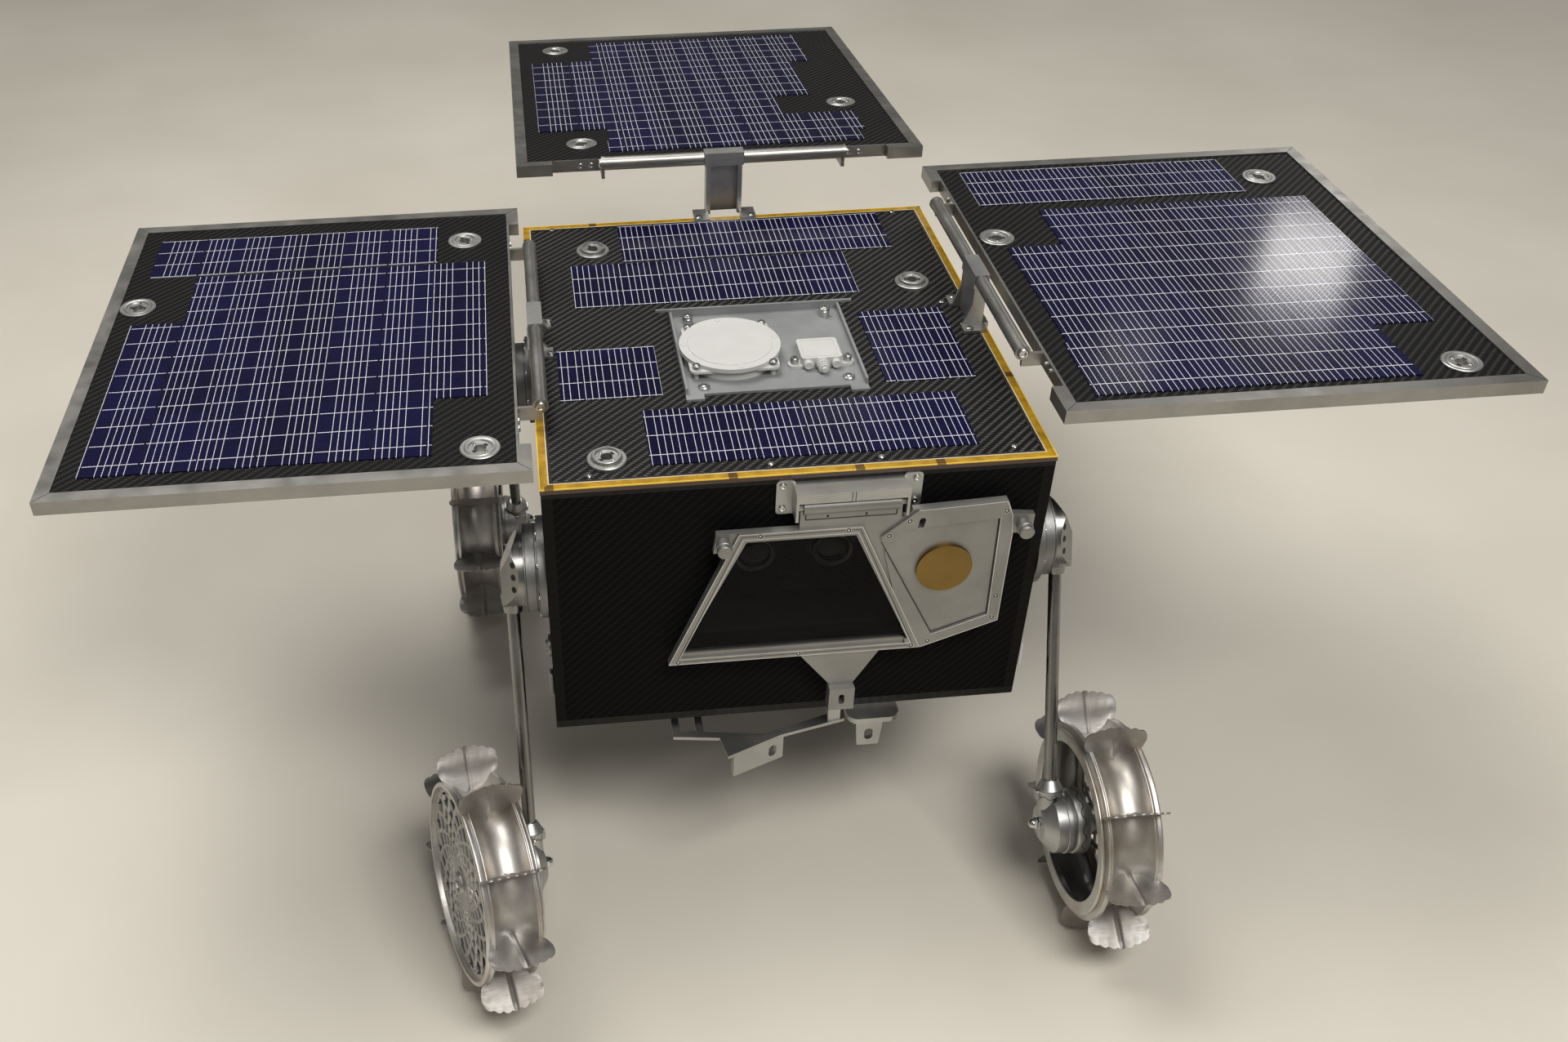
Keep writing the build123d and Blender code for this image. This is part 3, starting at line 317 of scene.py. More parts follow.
milled = worked_metal("Milled aluminium", (0.5, 0.5, 0.485), 0.44)
blasted = worked_metal("Blasted aluminium", (0.34, 0.335, 0.32), 0.5, (1300,) * 3, 0.2, 0.85)
frame_metal = worked_metal("Panel frame aluminium", (0.4, 0.39, 0.37), 0.4, (60, 60, 1600))
cast_grey = worked_metal("Grey shoulder casting", (0.27, 0.27, 0.265), 0.48, (900, 60, 900), 0.2)
drive_silver = worked_metal("Satin drive housing", (0.56, 0.56, 0.55), 0.42, (1400,) * 3, 0.08)
tube_grey = worked_metal("Leg tube", (0.3, 0.295, 0.285), 0.27, (500, 40, 20), 0.05)
screw_steel = worked_metal("Screw steel", (0.58, 0.58, 0.57), 0.25, (1500,) * 3, 0.05)
chrome = worked_metal("Bright nut", (0.7, 0.7, 0.7), 0.12, (900,) * 3, 0.03)
# Milled edges are paler than the blasted faces, and this strip colour also carries a painted highlight for
# the light their bevels catch.
milled_edge_highlight = worked_metal("Bright worn edge", (0.78, 0.77, 0.74), 0.5, (900,) * 3, 0.03, 0.4)
tray_paint = worked_metal("Tray grey paint", (0.3, 0.31, 0.315), 0.5, (1500,) * 3, 0.1, 0.35)
gold = worked_metal("Gold plate", (0.25, 0.16, 0.05), 0.42, (700,) * 3, 0.1)
print("materials with scratches and marks:", metal_wear.users)

# %% [markdown]
# The wheels are sheet metal, brushed in long hairlines and tinted warm by the
# heat of welding. The inside of a rim is painted darker, as painted shade that
# stands in for the shadow there. It is told apart by the length along the rim's
# profile, which its UV map holds.

# %% Brushed sheet metal
rim_shade_inside_from = 0.0903


def build_hairlines():
    """Node group: UV and Vector in metres; Hairs along V, Wide tints and fine Marks, 0 to 1."""
    group, start, end = new_group("Hairlines", ("UV", "Vector"), ("Hairs", "Wide", "Marks"), "Vector")
    stretched = pulled_out(group, start["UV"], (2600, 70, 1))
    feed(group, end, {
        "Hairs": scaled_noise(group, stretched, 1.0, 3.0, 0.6),
        "Wide": scaled_noise(group, start["Vector"], 24.0, 3.0, 0.5),
        "Marks": scaled_noise(group, start["Vector"], 160.0, 4.0, 0.6),
    })
    return group


hairlines = build_hairlines()


def hairline_metal(name, colour, warm, rough, shade_inside_from=9.0):
    """Sheet brushed along V of its UV map, with painted shade, a darker colour, where V is past
    shade_inside_from, in metres.
    """
    material, tree, shader, coordinates = new_material(name)
    values = {"UV": coordinates["UV"], "Vector": coordinates["Object"]}
    wear = place(tree, "Group", values, node_tree=hairlines).outputs
    hairs, wide = wear["Hairs"], wear["Wide"]
    tinted = blend_colours(tree, remap(tree, wide, 0.42, 0.66), rgba(colour), rgba(warm))
    marked = remap(tree, wear["Marks"], 0.5, 0.75, 0.0, 0.4)
    streaked = remap(tree, hairs, 0.48, 0.66, 0.0, 0.7)
    worn = calc(tree, "MAXIMUM", marked, streaked)
    brushed = blend_colours(tree, worn, tinted, rgba(colour, 0.66))
    # Painted shade: past this length along the profile, inside the rim, the colour is darkened to stand in
    # for the shadow there.
    inside = calc(tree, "GREATER_THAN", axes_of(tree, coordinates["UV"])["Y"], shade_inside_from)
    both = weighted(tree, hairs, 0.7, wide)
    feed(tree, shader, {
        "Base Color": blend_colours(tree, inside, brushed, rgba(colour, 0.3)),
        "Roughness": remap(tree, both, 0.3, 0.7, rough - 0.08, rough + 0.1),
        "Normal": bumped(tree, 0.22, 0.00005, hairs),
        "Metallic": 1.0,
    })
    return material


rim_tone, rim_warm = (0.7, 0.695, 0.68), (0.5, 0.44, 0.37)
wheel_sheet = hairline_metal("Wheel sheet metal", rim_tone, rim_warm, 0.4, rim_shade_inside_from)
grouser_sheet = hairline_metal("Grouser sheet metal", (0.41, 0.4, 0.385), (0.34, 0.31, 0.28), 0.5)
web_metal = hairline_metal("Wheel web metal", (0.5, 0.495, 0.485), (0.42, 0.405, 0.38), 0.38)
print("brushed metals:", wheel_sheet.name, grouser_sheet.name, web_metal.name)

# %% [markdown]
# The tape along the deck's edges is polyimide film: clear amber that looks
# golden over the pale lining, darker brown where short lengths overlap, and a
# cream line of bare lining along its inner edge. A bright band along the fold
# over the edge is a painted highlight, and the lower part of the strip that
# hangs down the edge is painted dark as shadow. Its UV map runs along the tape in
# U and across it in V, both in metres.

# %% Amber tape
shadow_until, fold_highlight_until, lining_from, clear_from = 0.0031, 0.0046, 0.0098, 0.0106
lap_length = 0.0065


def amber_tape():
    """Film whose bands follow one another across it: painted shadow, a painted highlight on the fold, amber,
    lining and clear.
    """
    material, tree, shader, coordinates = new_material("Amber film")
    axes = axes_of(tree, coordinates["UV"])
    along, across = axes["X"], axes["Y"]
    cloud = scaled_noise(tree, coordinates["Object"], 110.0, 4.0)
    cloudy = remap(tree, cloud, 0.3, 0.7)
    base = blend_colours(tree, cloudy, (0.27, 0.145, 0.008, 1.0), (0.46, 0.27, 0.02, 1.0))
    # Painted highlight: a bright band along the fold over the deck's edge.
    fold_highlight = calc(tree, "LESS_THAN", across, fold_highlight_until)
    base = blend_colours(tree, fold_highlight, base, (0.8, 0.52, 0.05, 1.0))
    lap = white_noise(tree, calc(tree, "FLOOR", calc(tree, "DIVIDE", along, lap_length)))
    brown = calc(tree, "GREATER_THAN", lap, 0.9)
    # Painted shadow: the lower part of the strip that hangs down the edge takes the dark brown of the
    # overlaps.
    shaded = calc(tree, "LESS_THAN", across, shadow_until)
    laps_and_shadow = calc(tree, "MAXIMUM", calc(tree, "MULTIPLY", brown, 0.8), shaded)
    colour = blend_colours(tree, laps_and_shadow, base, (0.045, 0.018, 0.006, 1.0))
    lining = calc(tree, "GREATER_THAN", across, lining_from)
    colour = blend_colours(tree, lining, colour, (0.6, 0.53, 0.38, 1.0))
    clear = calc(tree, "GREATER_THAN", across, clear_from)
    feed(tree, shader, {
        "Base Color": blend_colours(tree, clear, colour, (0.022, 0.021, 0.02, 1.0)),
        "Roughness": 0.26,
        "Coat Weight": 0.3,
        "Normal": bumped(tree, 0.3, 0.0003, cloud),
    })
    return material


amber_film = amber_tape()
print("tape shows amber to", lining_from * 1000, "mm")

# %% [markdown]
# The rest is glass, paint and plastic: white antenna covers, the smoky window
# that hangs in front of the cameras, black lenses and dark seams.

# %% Paint, plastic and glass
def build_paint_surface():
    """Node group: Vector in metres; Cloud, wide and soft, and Peel, fine, both from 0 to 1."""
    group, start, end = new_group("Paint surface", ("Vector",), ("Cloud", "Peel"), "Vector")
    feed(group, end, {
        "Cloud": scaled_noise(group, start["Vector"], 60.0, 4.0),
        "Peel": scaled_noise(group, start["Vector"], 900.0, 2.0),
    })
    return group


paint_surface = build_paint_surface()


def painted(name, colour, rough, mottle=0.06):
    """Paint or moulded plastic with a faint mottle and orange peel."""
    material, tree, shader, coordinates = new_material(name)
    surface = place(tree, "Group", {"Vector": coordinates["Object"]}, node_tree=paint_surface).outputs
    cloud = remap(tree, surface["Cloud"], 0.3, 0.7)
    feed(tree, shader, {
        "Base Color": blend_colours(tree, cloud, rgba(colour, 1 - 2 * mottle), rgba(colour)),
        "Roughness": remap(tree, surface["Peel"], 0.3, 0.7, rough - 0.06, rough + 0.06),
        "Normal": bumped(tree, 0.12, 0.0001, surface["Peel"]),
    })
    return material


def smoky_glass():
    """A dark see-through sheet with faint smears."""
    material, tree, shader, coordinates = new_material("Smoky glass")
    smear = scaled_noise(tree, coordinates["Object"], 25.0, 5.0)
    feed(tree, shader, {
        "Roughness": remap(tree, smear, 0.4, 0.7, 0.04, 0.12),
        "Base Color": (0.003, 0.003, 0.003, 1.0),
        "Alpha": 0.4,
        "Specular IOR Level": 0.12,
        "IOR": 1.5,
    })
    return material


antenna_white = painted("Antenna white", (0.54, 0.54, 0.525), 0.45, 0.03)
bay_black = painted("Camera bay black", (0.012, 0.012, 0.013), 0.6)
lens_black = painted("Lens black", (0.02, 0.02, 0.022), 0.2)
lens_glass = painted("Lens glass", (0.006, 0.006, 0.008), 0.1, 0.02)
# Dark seam lines between parts, and painted shadow: the same near-black stands in for the shade inside
# grooves, notches, countersinks and holes.
dark_seams_and_shadow = painted("Seam shadow", (0.01, 0.01, 0.01), 0.7)
block_grey = painted("Equipment block", (0.4, 0.4, 0.4), 0.6)

finish_with(milled, "deck_cups", "side_brackets", "rear_mast")
finish_with(milled, "belly_arm", "belly_bracket", "shutter_bracket")
finish_with(blasted, "shutter_frame")
finish_with(tray_paint, "instrument_tray")
finish_with(cast_grey, "shoulder_flanges", "shoulder_drives")
finish_with(antenna_white, "round_antenna", "small_antenna")
finish_with(bay_black, "camera_bay")
finish_with(lens_black, "camera_lenses")
finish_with(block_grey, "equipment_block")
finish_with(smoky_glass(), "window_glass")
finish_with(gold, "gold_disc")
for side in ("left", "right", "rear"):
    finish_with(frame_metal, f"panel_{side}_frame", f"panel_{side}_hinge")
    finish_with(milled, f"panel_{side}_cups")
for corner in corners:
    finish_with(tube_grey, f"{corner}_arm")
    finish_with(cast_grey, f"{corner}_foot")
    finish_with(wheel_sheet, f"{corner}_rim", f"{corner}_web")

# %% [markdown]
# The solar cells are printed strips about 40 mm wide under clear resin. Fine
# white fingers stand in groups of five, the groups come a little closer
# together than the cells, and wider white bars cross them. Each field gets a
# UV map in metres from its own corner, so its lines start at its edge. The
# resin mirrors a lamp only on the crowns of the cloth that shows through.

# %% Solar cell pattern group
cell_width = 0.040
finger_pitch, finger_width, fingers_in_group = 0.0050, 0.0005, 5
bar_pitch, bar_width = 0.025, 0.0008
joint_width, break_width = 0.0006, 0.0016


def build_cell_lines():
    """Node group: U, V, Group and Shift in metres. Lines is 1 on a finger or bar, Joint between
    cells, and Cell is a number for each cell."""
    group, start, end = new_group("Cell lines", ("U", "V", "Group", "Shift"), ("Lines", "Joint", "Cell"))
    u, v = start["U"], start["V"]

    def near_line(value, pitch, width, shift=0.0):
        """1 within half a width of each multiple of the pitch."""
        moved = calc(group, "FLOORED_MODULO", calc(group, "ADD", value, pitch / 2 + shift), pitch)
        distance = calc(group, "ABSOLUTE", calc(group, "SUBTRACT", moved, pitch / 2))
        return calc(group, "LESS_THAN", distance, width / 2)

    def count_of(value, pitch):
        """How many whole pitches lie before a value."""
        return calc(group, "FLOOR", calc(group, "DIVIDE", value, pitch))

    shifted = calc(group, "ADD", u, start["Shift"])
    in_group = calc(group, "FLOORED_MODULO", u, start["Group"])
    finger = near_line(in_group, finger_pitch, finger_width, -finger_pitch / 2)
    allowed = calc(group, "LESS_THAN", in_group, fingers_in_group * finger_pitch)
    finger = calc(group, "MULTIPLY", finger, allowed)
    bar = near_line(v, bar_pitch, bar_width, -bar_pitch / 2)
    whole = calc(group, "SUBTRACT", 1.0, near_line(shifted, cell_width, break_width))
    bar = calc(group, "MULTIPLY", bar, whole)
    row = calc(group, "MULTIPLY", count_of(v, 3 * bar_pitch), 7.3)
    feed(group, end, {
        "Lines": calc(group, "MAXIMUM", finger, bar),
        "Joint": near_line(shifted, cell_width, joint_width),
        "Cell": calc(group, "ADD", count_of(shifted, cell_width), row),
    })
    return group


cell_lines = build_cell_lines()


def cell_material(name, finger_group, joint_shift):
    """Cells whose groups of fingers repeat at one distance and whose joints are shifted from them."""
    material, tree, shader, coordinates = new_material(name)
    across = axes_of(tree, coordinates["UV"])
    values = {"U": across["X"], "V": across["Y"], "Group": finger_group, "Shift": joint_shift}
    pattern = place(tree, "Group", values, node_tree=cell_lines).outputs
    grains = place(tree, "TexVoronoi", {"Vector": coordinates["UV"], "Scale": 420.0}).outputs["Color"]
    grain = place(tree, "SeparateColor", {0: grains}).outputs[0]
    share = weighted(tree, white_noise(tree, pattern["Cell"]), 0.45, grain)
    navy = blend_colours(tree, share, (0.0018, 0.0015, 0.012, 1.0), (0.0052, 0.0044, 0.04, 1.0))
    joined = blend_colours(tree, pattern["Joint"], navy, (0.004, 0.004, 0.008, 1.0))
    peel = scaled_noise(tree, coordinates["UV"], 650.0, 2.0)
    ground = axes_of(tree, coordinates["Object"])
    cloth = woven(tree, ground["X"], ground["Y"])
    feed(tree, shader, {
        "Base Color": blend_colours(tree, pattern["Lines"], joined, (0.52, 0.53, 0.58, 1.0)),
        "Normal": bumped(tree, 0.8, 0.00025, peel),
        "Roughness": 0.5,
        "Specular IOR Level": 0.05,
        "Coat Weight": remap(tree, cloth["Height"], 0.1, 0.9, 0.02, 0.5),
        "Coat Roughness": 0.11,
    })
    return material


cell_looks = {
    "deck": (0.0194, cell_material("Solar cells deck", 0.0267, 0.0066)),
    "left": (0.009, cell_material("Solar cells left", 0.032, -0.002)),
    "right": (0.0259, cell_material("Solar cells right", 0.0267, -0.0159)),
    "rear": (0.0295, cell_material("Solar cells rear", 0.032, 0.0055)),
}
print("cell patterns:", len(cell_looks))

# %% [markdown]
# A field of cells is a thin box. The CAD fields already have the right size and
# place, and here each one is drawn again with its UV map, because the mesh of a
# CAD node has none. The height of the top face follows the board it lies on.

# %% Cell fields
def mesh_object(name, points, faces, uv, body, material, replaced=None):
    """A mesh at the origin from arrays, riding on a body, with its UV map and material."""
    mesh = bpy.data.meshes.new(name)
    mesh.from_pydata(np.asarray(points, float).tolist(), [], [list(face) for face in faces])
    layer = mesh.uv_layers.new(name="UVMap")
    corner_points = np.empty(len(mesh.loops), dtype=np.int64)
    mesh.loops.foreach_get("vertex_index", corner_points)
    layer.data.foreach_set("uv", np.asarray(uv, np.float32)[corner_points].ravel())
    piece = bpy.data.objects.new(name, mesh)
    bpy.context.scene.collection.objects.link(piece)
    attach(piece, body)
    finish_with(material, piece)
    if replaced:
        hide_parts(replaced)
    return piece


box_corners = np.array([(x, y, z) for z in (0, 1) for y in (0, 1) for x in (0, 1)], float)
box_faces = [(0, 2, 3, 1), (4, 5, 7, 6), (0, 1, 5, 4), (2, 6, 7, 3), (0, 4, 6, 2), (1, 3, 7, 5)]
cell_thickness = 0.8


def cell_fields(name, blocks, origin, out, along, up, body, replaced, look, turned_by=False):
    """Boxes origin + a*out + b*along + c*up. U counts across the fingers from the frame's own
    line, and V = (b - first bar) / step * pitch + pitch / 2, so that each field has its bars."""
    points, faces, uv = [], [], []
    finger_start, material = look
    for near, far, first, last, bar_start, bar_step in blocks:
        local = box_corners * np.array([far - near, last - first, cell_thickness]) / 1000
        base = np.asarray(origin) + near / 1000 * np.asarray(out) + first / 1000 * np.asarray(along)
        faces.extend([[len(points) + corner for corner in face] for face in box_faces])
        points.extend(base + local @ np.array([out, along, up]))
        u = local[:, 0] + near / 1000
        v = local[:, 1] - bar_start / 1000
        if turned_by:
            u = local[:, 1] + first / 1000
            v = local[:, 0] + (near - bar_start) / 1000
        uv.extend(np.stack([u + finger_start, v * 1000 * bar_pitch / bar_step + bar_pitch / 2], 1))
    mesh_object(name, points, faces, uv, body, material, replaced)


deck_top = 0.235
deck_blocks = [
    (-99, 141, 127, 195, 0.5, 22.4),
    (-146, 95, 49, 123, 0.5, 24.7),
    (-165, -87, -93, -20, 0.5, 24.0),
    (86, 156, -94, 15, 0.5, 25.0),
    (-105, 134, -184, -113, 12.0, 25.0),
]
deck_frame = (0, 0, deck_top), (1, 0, 0), (0, 1, 0), (0, 0, 1)
cell_fields("deck_cell_fields", deck_blocks, *deck_frame, "chassis", "deck_cells", cell_looks["deck"])
print("deck fields:", len(deck_blocks))

# %% [markdown]
# The panels' fields are measured outwards from each panel's inner edge and
# along its hinge. Their boards lie at different heights, and the rear one
# droops by 4.5 degrees. Its fields reach further than the solid ones, so strips
# along their borders are a piece of their own.

# %% Cell fields of the three panels
droop = math.radians(4.5)
panel_frames = {
    "left": dict(hinge=(-0.1805, 0, 0.255), out=(-1, 0, 0), up=(0, 0, 1), inner=8.5, top=-2.0),
    "right": dict(hinge=(0.1773, 0, 0.275), out=(1, 0, 0), up=(0, 0, 1), inner=7.3, top=-2.0),
    "rear": dict(
        hinge=(0.0015, 0.2179, 0.2885),
        out=(0, math.cos(droop), -math.sin(droop)),
        up=(0, math.sin(droop), math.cos(droop)),
        inner=14.0,
        top=-5.4,
    ),
}
panel_blocks = {
    "left": [
        (71, 313, -177, -111, 0.5, 21.8),
        (30, 272, -107, -30, 11.8, 23.7),
        (30, 314, -30, 106, 5.9, 23.7),
        (70, 314, 106, 180, 12.0, 24.7),
    ],
    "right": [
        (30, 271, 121, 189, 0.5, 22.4),
        (78, 317, 40, 106, 11.0, 22.0),
        (31, 317, -115, 40, 13.0, 25.8),
        (28, 270, -188, -115, 14.0, 25.0),
    ],
    "rear": [
        (60, 115, -148, 99, 66, 25),
        (117, 176, -77, 165, 141, 25),
        (176, 295, -116, 165, 191, 25),
        (297, 352, -137, 99, 316, 25),
    ],
}
rear_margins = [
    (30, 60, -140, 101, 41, 25),
    (97, 117, 99, 165, 116, 25),
    (115, 117, -77, 99, 116, 25),
    (295, 331, 99, 165, 316, 25),
    (295, 297, -116, 99, 316, 25),
    (352, 402, -137, 99, 366, 25),
]


def panel_axes(data):
    """A panel's hinge point and its directions up, out and along the hinge."""
    up, out = np.array(data["up"], float), np.array(data["out"], float)
    return np.array(data["hinge"], float), up, out, np.cross(up, out)


for side, data in panel_frames.items():
    hinge, up, out, along = panel_axes(data)
    origin = hinge + out * data["inner"] / 1000 + up * data["top"] / 1000
    body = f"panel_{side}"
    place_of = (origin, out, along, up, body)
    look = cell_looks[side]
    cell_fields(f"{body}_cell_fields", panel_blocks[side], *place_of, f"{body}_cells", look, side == "rear")
    if side == "rear":
        cell_fields(f"{body}_cell_margins", rear_margins, *place_of, None, look, True)
print("panel fields:", {side: len(blocks) for side, blocks in panel_blocks.items()})

# %% [markdown]
# The rest of the rover is drawn from short lists of distances. Each shape below
# is a pair of arrays, points and faces, made in the piece's own axes: out along
# an axle or screw, and two directions across it. A Bench turns those axes to
# where the piece sits on the rover, gathers its shapes and makes one mesh.

# %% A bench for building pieces
class Bench:
    """Gathers shapes for one piece. Local axes are the rows of axes, lengths in mm. order says
    which local axis each column of the next shapes goes along."""

    def __init__(self, origin, axes):
        self.origin = np.asarray(origin, float)
        self.axes = np.asarray(axes, float)
        self.points, self.faces, self.uv = [], [], []
        self.count = 0
        self.order = [0, 1, 2]

    def add(self, points, faces, uv=None):
        placed = np.empty((len(points), 3))
        placed[:, self.order] = points
        self.points.append(placed)
        self.faces.extend(tuple(int(corner) + self.count for corner in face) for face in faces)
        self.uv.append(placed[:, :2] if uv is None else uv)
        self.count += len(placed)

    def piece(self, name, body, material, sharp=32, replaced=None):
        """Makes the mesh, with faces outwards, and edges sharp above an angle."""
        world = self.origin + np.concatenate(self.points) / 1000 @ self.axes
        uv = np.concatenate(self.uv) / 1000
        made = mesh_object(name, world, self.faces, uv, body, material, replaced)
        outward = bmesh.new()
        outward.from_mesh(made.data)
        bmesh.ops.recalc_face_normals(outward, faces=outward.faces)
        outward.to_mesh(made.data)
        outward.free()
        made.data.polygons.foreach_set("use_smooth", np.ones(len(made.data.polygons), dtype=bool))
        made.data.set_sharp_from_angle(angle=math.radians(sharp))
        return made


def unit_rows(steps):
    """Each row divided by its length."""
    return steps / np.linalg.norm(steps, axis=1)[:, None]


def lengths_along(path):
    """The length of a path up to each of its points."""
    return np.concatenate([[0], np.cumsum(np.linalg.norm(np.diff(path, axis=0), axis=1))])


def grid_faces(rows, columns, wrap_rows=False, wrap_columns=False):
    """Quads of a grid whose point (i, j) has number i*columns + j."""
    i = np.arange(rows if wrap_rows else rows - 1)
    j = np.arange(columns if wrap_columns else columns - 1)
    i, j = np.meshgrid(i, j, indexing="ij")
    here = i * columns
    below = (i + 1) % rows * columns
    right = (j + 1) % columns
    quads = np.stack([here + j, below + j, below + right, here + right], -1)
    return quads.reshape(-1, 4).tolist()


def stack_faces(rows, count):
    """Faces of a stack of rings, with its first and last ring closed."""
    last = (rows - 1) * count
    ends = [tuple(range(count)), tuple(range(last + count - 1, last - 1, -1))]
    return grid_faces(rows, count, False, True) + ends


def turned(profile, count, centre):
    """Turns (along, radius) points about the first axis. A closed ring of points makes a ring."""
    profile = np.asarray(profile, float)
    angles = np.arange(count) * 2 * np.pi / count
    along = np.repeat(profile[:, :1], count, 1)
    across = centre[0] + profile[:, 1:] * np.cos(angles)
    upward = centre[1] + profile[:, 1:] * np.sin(angles)
    points = np.stack([along, across, upward], -1).reshape(-1, 3)
    round_way = np.repeat(angles[None, :] * profile[:, 1].max(), len(profile), 0)
    uv = np.stack([round_way, np.repeat(lengths_along(profile)[:, None], count, 1)], -1).reshape(-1, 2)
    return points, uv


def turned_ring(bench, profile, count, centre=(0, 0)):
    """A solid of revolution whose profile is a closed line away from the axis."""
    points, uv = turned(profile, count, centre)
    bench.add(points, grid_faces(len(profile), count, True, True), uv)


def turned_solid(bench, profile, count, centre=(0, 0)):
    """A solid of revolution with flat ends: the profile runs from one end to the other."""
    points, uv = turned(profile, count, centre)
    bench.add(points, stack_faces(len(profile), count), uv)


def slab(bench, outline, low, high, bevel=0.0):
    """A plate: an outline in the last two axes, from low to high along the first, edges bevelled."""
    outline = np.asarray(outline, float)
    ahead = unit_rows(np.roll(outline, -1, 0) - outline)
    behind = np.roll(ahead, 1, 0)
    turn = 1 + np.sum(ahead * behind, 1)
    area = np.sum(outline[:, 0] * np.roll(outline[:, 1], -1) - outline[:, 1] * np.roll(outline[:, 0], -1))
    inward = np.stack([-(ahead[:, 1] + behind[:, 1]), ahead[:, 0] + behind[:, 0]], 1) / turn[:, None]
    inset = outline + inward * bevel * np.sign(area)
    rows = [(low, outline), (high, outline)]
    if bevel > 0:
        rows = [(low, inset), (low + bevel, outline), (high - bevel, outline), (high, inset)]
    count = len(outline)
    points = np.concatenate([np.column_stack([np.full(count, level), ring]) for level, ring in rows])
    bench.add(points, stack_faces(len(rows), count), points[:, 1:])


def tube_along(bench, path, across, deep, sides=8):
    """An oval tube along a path: across is its half width, deep its half depth along the first axis."""
    normal = np.array([1.0, 0.0, 0.0])
    ahead = unit_rows(np.gradient(path, axis=0))
    sideways = unit_rows(np.cross(ahead, normal))
    turns = np.arange(sides) * 2 * np.pi / sides
    points = (
        path[:, None, :]
        + across[:, None, None] * np.cos(turns)[None, :, None] * sideways[:, None, :]
        + deep * np.sin(turns)[None, :, None] * normal
    )
    uv = np.stack(np.meshgrid(lengths_along(path), turns * deep, indexing="ij"), -1).reshape(-1, 2)
    bench.add(points.reshape(-1, 3), stack_faces(len(path), sides), uv)


def screw_head(bench, centre, level, radius, count=24):
    """A screw head at a place across the first axis: a bevelled disc with a hex socket."""
    height = 0.55 * radius
    rim = [(level, radius), (level + 0.7 * height, radius), (level + height, 0.8 * radius)]
    well = [(level + height, 0.56 * radius), (level + 0.35 * height, 0.5 * radius)]
    points, uv = turned(rim + well, count, centre)
    angles = np.arange(count) * 2 * np.pi / count
    flat = 0.5 * radius / np.cos((angles % (np.pi / 3)) - np.pi / 6) * math.cos(math.pi / 6)
    for row, scale in ((3, flat * 1.1), (4, flat)):
        ring = points[row * count:(row + 1) * count]
        ring[:, 1] = centre[0] + scale * np.cos(angles)
        ring[:, 2] = centre[1] + scale * np.sin(angles)
    bench.add(points, stack_faces(5, count), uv)


# %% [markdown]
# A wheel is spun like a bowl. Across its width the tread dips in a circle arc
# between two rolled lips. The inner side has a second, smaller lip and a sloping
# flange round the opening that the drive reaches through.

# %% Wheel rims
wheel_inner, wheel_outer = 16.0, 63.0
tread_from, tread_to = 23.0, 56.0
lip_radius = 80.0
waist_depth = 10.0


def arc_points(first, last, depth, count):
    """Points of a circle arc that dips by depth below the chord from first to last."""
    first, last = np.asarray(first, float), np.asarray(last, float)
    half = np.linalg.norm(last - first) / 2
    radius = (half * half + depth * depth) / (2 * depth)
    sweep = math.asin(half / radius)
    angles = np.linspace(-sweep, sweep, count)
    along = half + radius * np.sin(angles)
    dip = radius * (np.cos(angles) - math.cos(sweep))
    unit = (last - first) / (2 * half)
    return first + along[:, None] * unit + dip[:, None] * np.array([unit[1], -unit[0]])


def half_round(centre, radius, start, end, count=7):
    """Points on a circle round centre, from one angle in degrees to another."""
    angles = np.radians(np.linspace(start, end, count))
    return np.stack([centre[0] + radius * np.cos(angles), centre[1] + radius * np.sin(angles)], 1)


tread = arc_points((tread_from, lip_radius), (tread_to, lip_radius), waist_depth, 25)
rim_profile = np.concatenate([
    [(wheel_inner + 1.4, 66.0)],
    half_round((wheel_inner + 0.7, 65.8), 0.7, 0, -180),
    [(wheel_inner, 69.0), (wheel_inner - 0.6, 73.6)],
    half_round((wheel_inner + 0.6, 74.6), 1.2, 180, 60),
    [(wheel_inner + 2.6, 74.4)],
    half_round((wheel_inner + 4.6, 79.4), 1.3, 200, 30),
    [(wheel_inner + 6.0, lip_radius - 0.5)],
    half_round((tread_from - 0.9, lip_radius - 0.2), 0.9, 140, 20),
    tread[1:-1],
    half_round((tread_to + 0.9, lip_radius - 0.2), 0.9, 160, 40),
    [(tread_to + 3.0, lip_radius - 0.4)],
    half_round((wheel_outer - 1.6, lip_radius - 1.4), 1.7, 100, -10),
    [(wheel_outer - 0.2, lip_radius - 3.4), (wheel_outer - 6.0, lip_radius - 3.6)],
    [(tread_to - 4.0, 74.2)],
    arc_points((tread_to - 5.0, 73.2), (tread_from + 2.0, 73.2), -5.4, 9),
    [(wheel_inner + 3.4, 73.0), (wheel_inner + 1.8, 71.0)],
])
print("rim profile:", len(rim_profile), "points")


def leg_place(corner):
    """Foot point, axle direction and the leg's way down."""
    axle, shoulder = joints[f"axle_{corner}"], joints[f"shoulder_{corner}"]
    foot = np.array(axle["pos_m"], float)
    down = foot - np.array(shoulder["pos_m"], float)
    return foot, np.array(axle["axis"], float), down / np.linalg.norm(down)


def axle_place(corner):
    """Foot point, and the directions out along the axle, to the front and up."""
    foot, out = leg_place(corner)[:2]
    front = np.array([0.0, -1.0, 0.0])
    front -= out * front.dot(out)
    front /= np.linalg.norm(front)
    upward = np.cross(out, front)
    return foot, (out, front, upward * (1.0 if upward[2] > 0 else -1.0))


